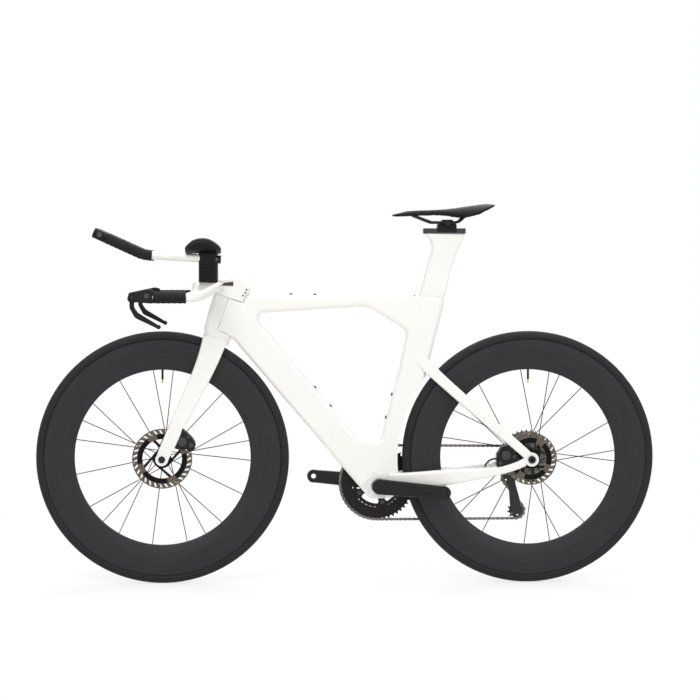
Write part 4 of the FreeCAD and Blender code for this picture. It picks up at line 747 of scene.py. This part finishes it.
class BICYCLE_OT_controls(bpy.types.Operator):
    """Finish levers, hoods, buttons, risers, cups, saddle rails and brake pads"""

    bl_idname = "bicycle.controls"
    bl_label = "Controls"

    def execute(self, context):
        for name, nodes in (
                ("Satin black", (
                    "riser_spacers", "armrest_cups", "saddle_clamp", "extension_pods")),
                ("Lever black", ("brake_lever_left", "brake_lever_right")),
                ("Friction pads", (
                    "front_pad_left", "front_pad_right", "rear_pad_left", "rear_pad_right")),
                ("Button rubber", (
                    "bar_button_left", "bar_button_right", "extension_button_left",
                    "extension_button_right")),
                ("Rail black", ("saddle_rails",))):
            dress(nodes, finish(name))
        rubber = tone("rubber")
        made, tree, shader, vector = new_material("Hood rubber", specular=0.14)
        drift = add_drift(tree, shader, vector, (0.5, 0.66), 900.0, (rubber, shade(rubber, 1.35)))
        set_base(tree, shader, drift["Colour"])
        dots = texture(tree, "Voronoi", vector, {"Scale": 420.0, "Randomness": 0.15})
        add_bump(tree, shader, dots["Distance"], 0.3, 0.0006)
        dress(["lever_hoods"], made)
        return {"FINISHED"}


# The front caliper's halves and the bridge between them: outlines in X and Z, in millimetres from
# the axle, then places in Y and the edge's rounding
CALIPER_HALF = (
    (33.5, 29), (37.5, 41), (46, 62), (53, 80), (55.5, 85.5), (58.5, 80), (62, 75), (68, 71),
    (79, 60), (87, 48.5), (90, 38), (87, 28), (80, 21), (73, 21.5), (66, 27), (57, 25), (45, 26))
CALIPER_BRIDGE = (
    (66, 70), (85, 49), (88, 37), (84, 29), (78, 28.4), (71.9, 41.5), (63.6, 53.4), (56.6, 61))
CALIPER_PLATES = (
    (CALIPER_HALF, -0.0560, -0.0402, 0.0026), (CALIPER_HALF, -0.0308, -0.0262, 0.0014),
    (CALIPER_BRIDGE, -0.0420, -0.0290, 0.0015))

# Caps and screws on the calipers: X, Z, radius, places in Y and the edge's rounding. The front ones
# count X and Z from the axle.
FRONT_CAPS = (
    (0.0545, 0.0465, 0.0118, -0.0585, -0.0545, 0.0012),
    (0.0545, 0.0465, 0.0042, -0.0592, -0.0580, 0.0004),
    (0.0780, 0.0380, 0.0068, -0.0578, -0.0545, 0.0010),
    (0.0705, 0.0590, 0.0040, -0.0578, -0.0545, 0.0008))
REAR_CAPS = (
    (0.4235, 0.3490, 0.0125, -0.0750, -0.0705, 0.0012),
    (0.4235, 0.3490, 0.0044, -0.0758, -0.0745, 0.0004),
    (0.4445, 0.3455, 0.0046, -0.0742, -0.0705, 0.0009),
    (0.4085, 0.3290, 0.0050, -0.0742, -0.0705, 0.0009))


class BICYCLE_OT_brakes(bpy.types.Operator):
    """Build the front caliper around its rotor, and the rear caliper's caps"""

    bl_idname = "bicycle.brakes"
    bl_label = "Calipers"

    def execute(self, context):
        metal = finish("Caliper black")
        # The caps are painted lighter than the caliper body, as a painted highlight on the bosses
        caps_painted_highlight = finish("Caliper caps")
        dress(["rear_caliper"], metal)
        x, _, z = FRONT_AXLE
        body = [plate([(x + a / 1000, z + b / 1000) for a, b in outline], *rest)
                for outline, *rest in CALIPER_PLATES]
        front = [boss(x + a, z + b, *rest) for a, b, *rest in FRONT_CAPS]
        rear = [boss(*cap) for cap in REAR_CAPS]
        for piece in body:
            add_material(piece, metal)
        for piece in front + rear:
            add_material(piece, caps_painted_highlight)
        front = join(body + front, "front_caliper_body")
        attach(front, "front_end")
        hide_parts("front_caliper")
        rear = join(rear, "rear_caliper_caps")
        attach(rear, "frame_body")
        return {"FINISHED"}


class BICYCLE_OT_hose(bpy.types.Operator):
    """Lay the rear brake's hose from the chain stay into its caliper"""

    bl_idname = "bicycle.hose"
    bl_label = "Rear hose"

    def execute(self, context):
        start = Vector((0.3690, -0.0520, 0.3170))
        bend = Vector((0.3790, -0.0525, 0.3420))
        end = Vector((0.4040, -0.0560, 0.3385))
        hose = long_cylinder(around=20, rings=24, ends="NGON")
        radius = sizes().hose_width / 2
        for vertex in hose.data.vertices:
            share = vertex.co.z + 0.5
            left = 1 - share
            turn = math.atan2(vertex.co.y, vertex.co.x)
            point = start * left ** 2 + bend * (2 * share * left) + end * share ** 2
            ahead = ((bend - start) * left + (end - bend) * share).normalized()
            up = ahead.cross(ACROSS).normalized()
            vertex.co = point + (ACROSS * math.cos(turn) + up * math.sin(turn)) * radius
        face_outward()
        smooth_below(40)
        hose = settle(hose, "rear_brake_hose")
        add_material(hose, finish("Hose sleeve"))
        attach(hose, "frame_body")
        return {"FINISHED"}


class BICYCLE_OT_tape(bpy.types.Operator):
    """Wind tape around the grips and extensions"""

    bl_idname = "bicycle.tape"
    bl_label = "Bar tape"

    def execute(self, context):
        made = self.cloth()
        grip = [Vector((-0.5059, 0.185, 0.771)), Vector((-0.4211, 0.185, 0.771))]
        corner = Vector((-0.537, 0.055, 0.8814))
        back = (Vector((-0.340, 0.055, 0.8699)) - corner).normalized()
        end = Vector((-0.669, 0.055, 0.9415))
        behind_corner, before_end = 0.022, 0.036
        tip = end - (end - corner).normalized() * before_end
        arm = [corner + back * behind_corner, corner, tip]
        for name, old, route, inner, outer, pitch in (
                ("bar_tape_wound", "bar_tape", grip, 0.0112, 0.0147, 0.014),
                ("extension_tape_wound", "extension_tape", arm, 0.01112, 0.0136, 0.013)):
            tape = join([self.wind(route, side, inner, outer, pitch) for side in (-1, 1)], name)
            add_material(tape, made)
            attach(tape, "front_end")
            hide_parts(old)
        return {"FINISHED"}

    def cloth(self):
        """Cork tape with rows of pits, darker in the pits as painted shade."""
        rubber = tone("rubber")
        made, tree, shader, vector = new_material("Cork tape", specular=0.12)
        drift = add_drift(tree, shader, vector, (0.5, 0.7), 1300.0,
                          (rubber, shade(rubber, 1.6)), 40.0)
        dots = texture(tree, "Voronoi", vector, {"Scale": 330.0, "Randomness": 0.25})
        pits = span(tree, dots["Distance"], 0.0, 0.35, 0.0, 1.0)
        # The pits get a darker rubber, as painted shade in the hollows
        set_base(tree, shader, mix(tree, pits, shade(rubber, 0.5), drift["Colour"]))
        before = add_bump(tree, shader, drift["Height"], 0.2, 0.0003)
        add_bump(tree, shader, pits, 0.4, 0.0005, before)
        return made

    def wind(self, route, side, inner, outer, pitch):
        """A tube along a bent route whose wall steps down at each turn of the tape."""
        climb = 0.86
        fade_length, fade_depth = 0.002, 0.0006
        obj = long_cylinder(around=48, rings=150, ends="NOTHING")
        length, place = self.route(route, bend=0.09)
        step = sizes().tape_step
        for vertex in obj.data.vertices:
            turn = math.atan2(vertex.co.y, vertex.co.x) * side
            along = (vertex.co.z + 0.5) * length
            phase = (along / pitch + turn / (2 * math.pi)) % 1.0
            lift = step * (phase / climb if phase < climb else (1.0 - phase) / (1.0 - climb))
            fade = min(1.0, along / fade_length, (length - along) / fade_length)
            radius = outer + lift - fade_depth * (1.0 - max(0.0, fade))
            point, ahead = place(along)
            up = ahead.cross(ACROSS)
            vertex.co = point + ACROSS * (radius * math.cos(turn)) + up * (radius * math.sin(turn))
            vertex.co.y *= side
        face_outward()
        use_modifier(
            obj, "SOLIDIFY", thickness=outer - inner, offset=-1.0, use_even_offset=True)
        smooth_below(40)
        return obj

    def route(self, points, bend):
        """Length of a route, and a function from a distance along it to a point and direction."""
        if len(points) == 2:
            run = points[1] - points[0]
            ahead = run.normalized()
            return run.length, lambda d: (points[0] + ahead * d, ahead)
        first, corner, last = points
        one = (corner - first).normalized()
        two = (last - corner).normalized()
        turn = one.angle(two)
        reach = bend * math.tan(turn / 2)
        straight = (corner - first).length - reach
        arc = bend * turn
        length = straight + arc + (last - corner).length - reach
        normal = (two - one * one.dot(two)).normalized()

        def place(d):
            if d < straight:
                return first + one * d, one
            if d < straight + arc:
                a = (d - straight) / bend
                start = first + one * straight
                point = start + one * (bend * math.sin(a)) + normal * (bend * (1 - math.cos(a)))
                return point, one * math.cos(a) + normal * math.sin(a)
            return corner + two * (reach + d - straight - arc), two

        return length, place


def swell(obj, voxel, limit, allow):
    """Puff a closed cover as foam fills it; allow gives each point's share of the limit."""
    frames = 20
    use_modifier(obj, "REMESH", mode="VOXEL", voxel_size=voxel)
    before = [v.co.copy() for v in obj.data.vertices]
    cloth = obj.modifiers.new("Cover", "CLOTH")
    fabric = cloth.settings
    fabric.use_pressure = True
    fabric.uniform_pressure_force = 4.0
    fabric.effector_weights.gravity = 0.0
    fabric.tension_stiffness = fabric.compression_stiffness = 15.0
    fabric.quality = 6
    cloth.point_cache.frame_end = frames
    scene = bpy.context.scene
    for number in range(1, frames + 1):
        scene.frame_set(number)
    select_only(obj)
    bpy.ops.object.modifier_apply(modifier=cloth.name)
    scene.frame_set(1)
    for vertex, start in zip(obj.data.vertices, before):
        move = vertex.co - start
        most = limit * allow(start)
        if move.length > most:
            move = move.normalized() * most
        vertex.co = start + move
    use_modifier(obj, "CORRECTIVE_SMOOTH", factor=0.5, iterations=6, use_only_smooth=True)
    use_modifier(obj, "SUBSURF", levels=1, render_levels=1)
    select_only(obj)
    bpy.ops.object.shade_smooth()


class BICYCLE_OT_arm_pads(bpy.types.Operator):
    """Fill and cover the arm pads"""

    bl_idname = "bicycle.arm_pads"
    bl_label = "Arm pads"

    # Y and Z of the axis that each pad is bent about
    axis = (0.062, 0.938)

    def execute(self, context):
        voxel, foam_reach, cup_reach = 0.003, 0.0465, 0.04885
        y, z = self.axis
        pad = copied_solid("arm_pads")
        swell(pad, voxel, sizes().pad_swell, lambda p: 1.0 if self.reach(p) < foam_reach else 0.0)
        for vertex in pad.data.vertices:
            reach = self.reach(vertex.co)
            if reach > cup_reach:
                side = math.copysign(1.0, vertex.co.y)
                share = cup_reach / reach
                vertex.co.y = side * (y + (abs(vertex.co.y) - y) * share)
                vertex.co.z = z + (vertex.co.z - z) * share
        for vertex in pad.data.vertices:
            self.roll(vertex)
        use_modifier(pad, "SMOOTH", factor=0.5, iterations=3)
        add_material(pad, self.cloth())
        pad = settle(pad, "arm_pad_covers")
        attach(pad, "front_end")
        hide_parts("arm_pads")
        return {"FINISHED"}

    def reach(self, point):
        """Distance from the pad's axis."""
        return math.hypot(abs(point.y) - self.axis[0], point.z - self.axis[1])

    def roll(self, vertex):
        """Roll the pad's rim over the edge of the cup."""
        middle, half = -0.381, 0.046
        outer_edge, outer_taper = 73, 33
        inner_edge, inner_taper = 43, 17
        bend, roundness = 0.05, 2.4
        lip_width, lip_ramp, lip_rise = 0.0095, 0.002, 0.0047
        rim_width, rim_turn, rim_push = 0.006, 0.032, 0.0015
        foam_floor, foam_depth = 0.040, 0.0085
        y, z = self.axis
        out = vertex.co.x - middle
        far = min(1.0, abs(out) / half) ** roundness
        turn = math.atan2(abs(vertex.co.y) - y, z - vertex.co.z)
        reach = self.reach(vertex.co)
        outer_gap = (math.radians(outer_edge - outer_taper * far) - turn) * bend
        inner_gap = (turn + math.radians(inner_edge - inner_taper * far)) * bend
        end_gap = half - abs(out)
        gap = max(0.0, min(outer_gap, inner_gap, end_gap))
        lip = 1.0 - min(1.0, max(0.0, (gap - lip_width) / lip_ramp))
        rim = max(0.0, 1.0 - gap / rim_width)
        depth = min(1.0, max(0.0, (reach - foam_floor) / foam_depth))
        reach += lip * depth * lip_rise
        turn += rim * rim_turn * (1.0 if outer_gap < inner_gap else -1.0)
        side = math.copysign(1.0, vertex.co.y)
        vertex.co.x += math.copysign(rim_push * max(0.0, 1.0 - end_gap / rim_width), out)
        vertex.co.y = side * (y + reach * math.sin(turn))
        vertex.co.z = z - reach * math.cos(turn)

    def cloth(self):
        """Woven cloth, darker where the weave sits low, as painted shade."""
        colour = tone("cloth")
        made, tree, shader, vector = new_material("Pad cloth", sheen=0.15, specular=0.3)
        drift = add_drift(tree, shader, vector, (0.7, 0.88), 1500.0,
                          (colour, shade(colour, 1.5)), 30.0)
        threads = [texture(tree, "Wave", vector, {"Scale": 260.0, "Distortion": 0.4},
                           bands_direction=way)[1] for way in ("X", "Y")]
        weave = times(tree, *threads)
        # Darker colour where the weave sits low: painted shade between the threads
        set_base(tree, shader, mix(tree, weave, shade(colour, 0.6), drift["Colour"]))
        add_bump(tree, shader, weave, 0.3, 0.0004)
        return made


class BICYCLE_OT_saddle(bpy.types.Operator):
    """Cover the saddle"""

    bl_idname = "bicycle.saddle"
    bl_label = "Saddle"

    def execute(self, context):
        voxel, swells_above = 0.0035, 0.993
        seat = copied_solid("saddle")
        swell(seat, voxel, sizes().saddle_swell, lambda p: 1.0 if p.z > swells_above else 0.0)
        add_material(seat, self.leather())
        seat = settle(seat, "saddle_cover")
        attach(seat, "seat")
        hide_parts("saddle")
        return {"FINISHED"}

    def leather(self):
        """Synthetic leather with pores."""
        colour = tone("cover")
        made, tree, shader, vector = new_material("Saddle cover", specular=0.06)
        drift = add_drift(tree, shader, vector, (0.42, 0.58), 1200.0,
                          (colour, shade(colour, 1.6)), 18.0)
        set_base(tree, shader, drift["Colour"])
        pores = texture(tree, "Voronoi", vector, {"Scale": 700.0})
        add_bump(tree, shader, pores["Distance"], 0.25, 0.0004)
        return made


# Area lamps: name, place, turn in degrees, size and share of the lamp strength
LAMPS = (
    ("Key", (-1.8, -3.6, 3.4), (48, 0, -26), 2.6, 1.0),
    ("Fill", (2.4, -3.2, 2.6), (52, 0, 36), 2.4, 0.6),
    ("Back", (0.4, 3.8, 3.0), (-52, 0, 6), 2.8, 0.8),
    ("Top", (0.0, 0.4, 4.2), (0, 0, 0), 3.2, 0.9))


class BICYCLE_OT_stage(bpy.types.Operator):
    """Set up the floor, lamps and camera"""

    bl_idname = "bicycle.stage"
    bl_label = "Studio"

    def execute(self, context):
        scene = context.scene
        stage = scene.bicycle_stage
        scene.view_settings.view_transform = "Standard"
        self.floor()
        self.world(scene, stage.world)
        for name, place, turn, size, share in LAMPS:
            light = bpy.data.lights.new(name, "AREA")
            light.energy = stage.lamp * share
            light.size = size
            lamp = bpy.data.objects.new(name, light)
            lamp.location = place
            lamp.rotation_euler = [math.radians(a) for a in turn]
            scene.collection.objects.link(lamp)
        lens = bpy.data.cameras.new("Camera")
        lens.lens = stage.lens
        lens.sensor_width = 36.0
        lens.sensor_fit = "HORIZONTAL"
        lens.shift_x = stage.camera_shift
        camera = bpy.data.objects.new("Camera", lens)
        camera.location = stage.camera_place
        aim = Vector(stage.camera_aim) - Vector(stage.camera_place)
        camera.rotation_euler = aim.to_track_quat("-Z", "Y").to_euler()
        scene.collection.objects.link(camera)
        scene.camera = camera
        return {"FINISHED"}

    def floor(self):
        """Matt floor that keeps its shadow near the bicycle and goes white further out."""
        near, far, near_share = 0.7, 1.7, 0.68
        bpy.ops.mesh.primitive_grid_add(x_subdivisions=4, y_subdivisions=4, size=40.0)
        floor = settle(bpy.context.object, "studio_floor")
        made, tree, shader, vector = new_material("Studio floor")
        shader.inputs["Roughness"].default_value = 0.9
        shader.inputs["Base Color"].default_value = (0.93, 0.93, 0.93, 1.0)
        away = node(tree, "ShaderNodeVectorMath", operation="LENGTH")
        tree.links.new(vector, away.inputs[0])
        edge = span(tree, away.outputs["Value"], near, far, near_share, 1.0)
        glow = node(tree, "ShaderNodeEmission", {"Strength": 1.0, "Color": WHITE})
        self.blend(tree, times(tree, asks_background(tree), edge), shader, glow, "Material Output")
        add_material(floor, made)

    def world(self, scene, strength):
        """Even light from all round, seen as plain white."""
        world = bpy.data.worlds.new("Studio")
        scene.world = world
        world.use_nodes = True
        tree = world.node_tree
        soft = tree.nodes["Background"]
        soft.inputs["Color"].default_value = WHITE
        soft.inputs["Strength"].default_value = strength
        white = node(tree, "ShaderNodeBackground", {"Color": WHITE, "Strength": 1.0})
        self.blend(tree, asks_background(tree), soft, white, "World Output")

    def blend(self, tree, factor, first, second, target):
        """Mix two shaders into an output."""
        made = node(tree, "ShaderNodeMixShader")
        for socket, source in zip(made.inputs, (factor, first.outputs[0], second.outputs[0])):
            tree.links.new(source, socket)
        tree.links.new(made.outputs[0], tree.nodes[target].inputs["Surface"])


class BICYCLE_PT_panel(bpy.types.Panel):
    """Lists the operators and their settings"""

    bl_idname = "BICYCLE_PT_panel"
    bl_label = "Time Trial Bicycle"
    bl_space_type = "VIEW_3D"
    bl_region_type = "UI"
    bl_category = "Bicycle"

    def draw(self, context):
        for operator in OPERATORS:
            self.layout.operator(operator.bl_idname)
        for name, kind in GROUPS.items():
            for entry in kind.__annotations__:
                self.layout.prop(getattr(context.scene, name), entry)


OPERATORS = (
    BICYCLE_OT_paint, BICYCLE_OT_wheels, BICYCLE_OT_drive, BICYCLE_OT_controls, BICYCLE_OT_brakes,
    BICYCLE_OT_hose, BICYCLE_OT_tape, BICYCLE_OT_arm_pads, BICYCLE_OT_saddle, BICYCLE_OT_stage)
GROUPS = {
    "bicycle_finish": BicycleFinish, "bicycle_sizes": BicycleSizes, "bicycle_stage": BicycleStage}
CLASSES = (*GROUPS.values(), *OPERATORS, BICYCLE_PT_panel)


def register():
    for item in CLASSES:
        bpy.utils.register_class(item)
    for name, kind in GROUPS.items():
        setattr(bpy.types.Scene, name, bpy.props.PointerProperty(type=kind))


def unregister():
    for name in GROUPS:
        delattr(bpy.types.Scene, name)
    for item in reversed(CLASSES):
        bpy.utils.unregister_class(item)


def main():
    register()
    make_surface_group()
    make_wheel_group()
    bpy.ops.bicycle.paint()
    bpy.ops.bicycle.wheels()
    bpy.ops.bicycle.drive()
    bpy.ops.bicycle.controls()
    bpy.ops.bicycle.brakes()
    bpy.ops.bicycle.hose()
    bpy.ops.bicycle.tape()
    bpy.ops.bicycle.arm_pads()
    bpy.ops.bicycle.saddle()
    bpy.ops.bicycle.stage()


if __name__ == "__main__":
    main()
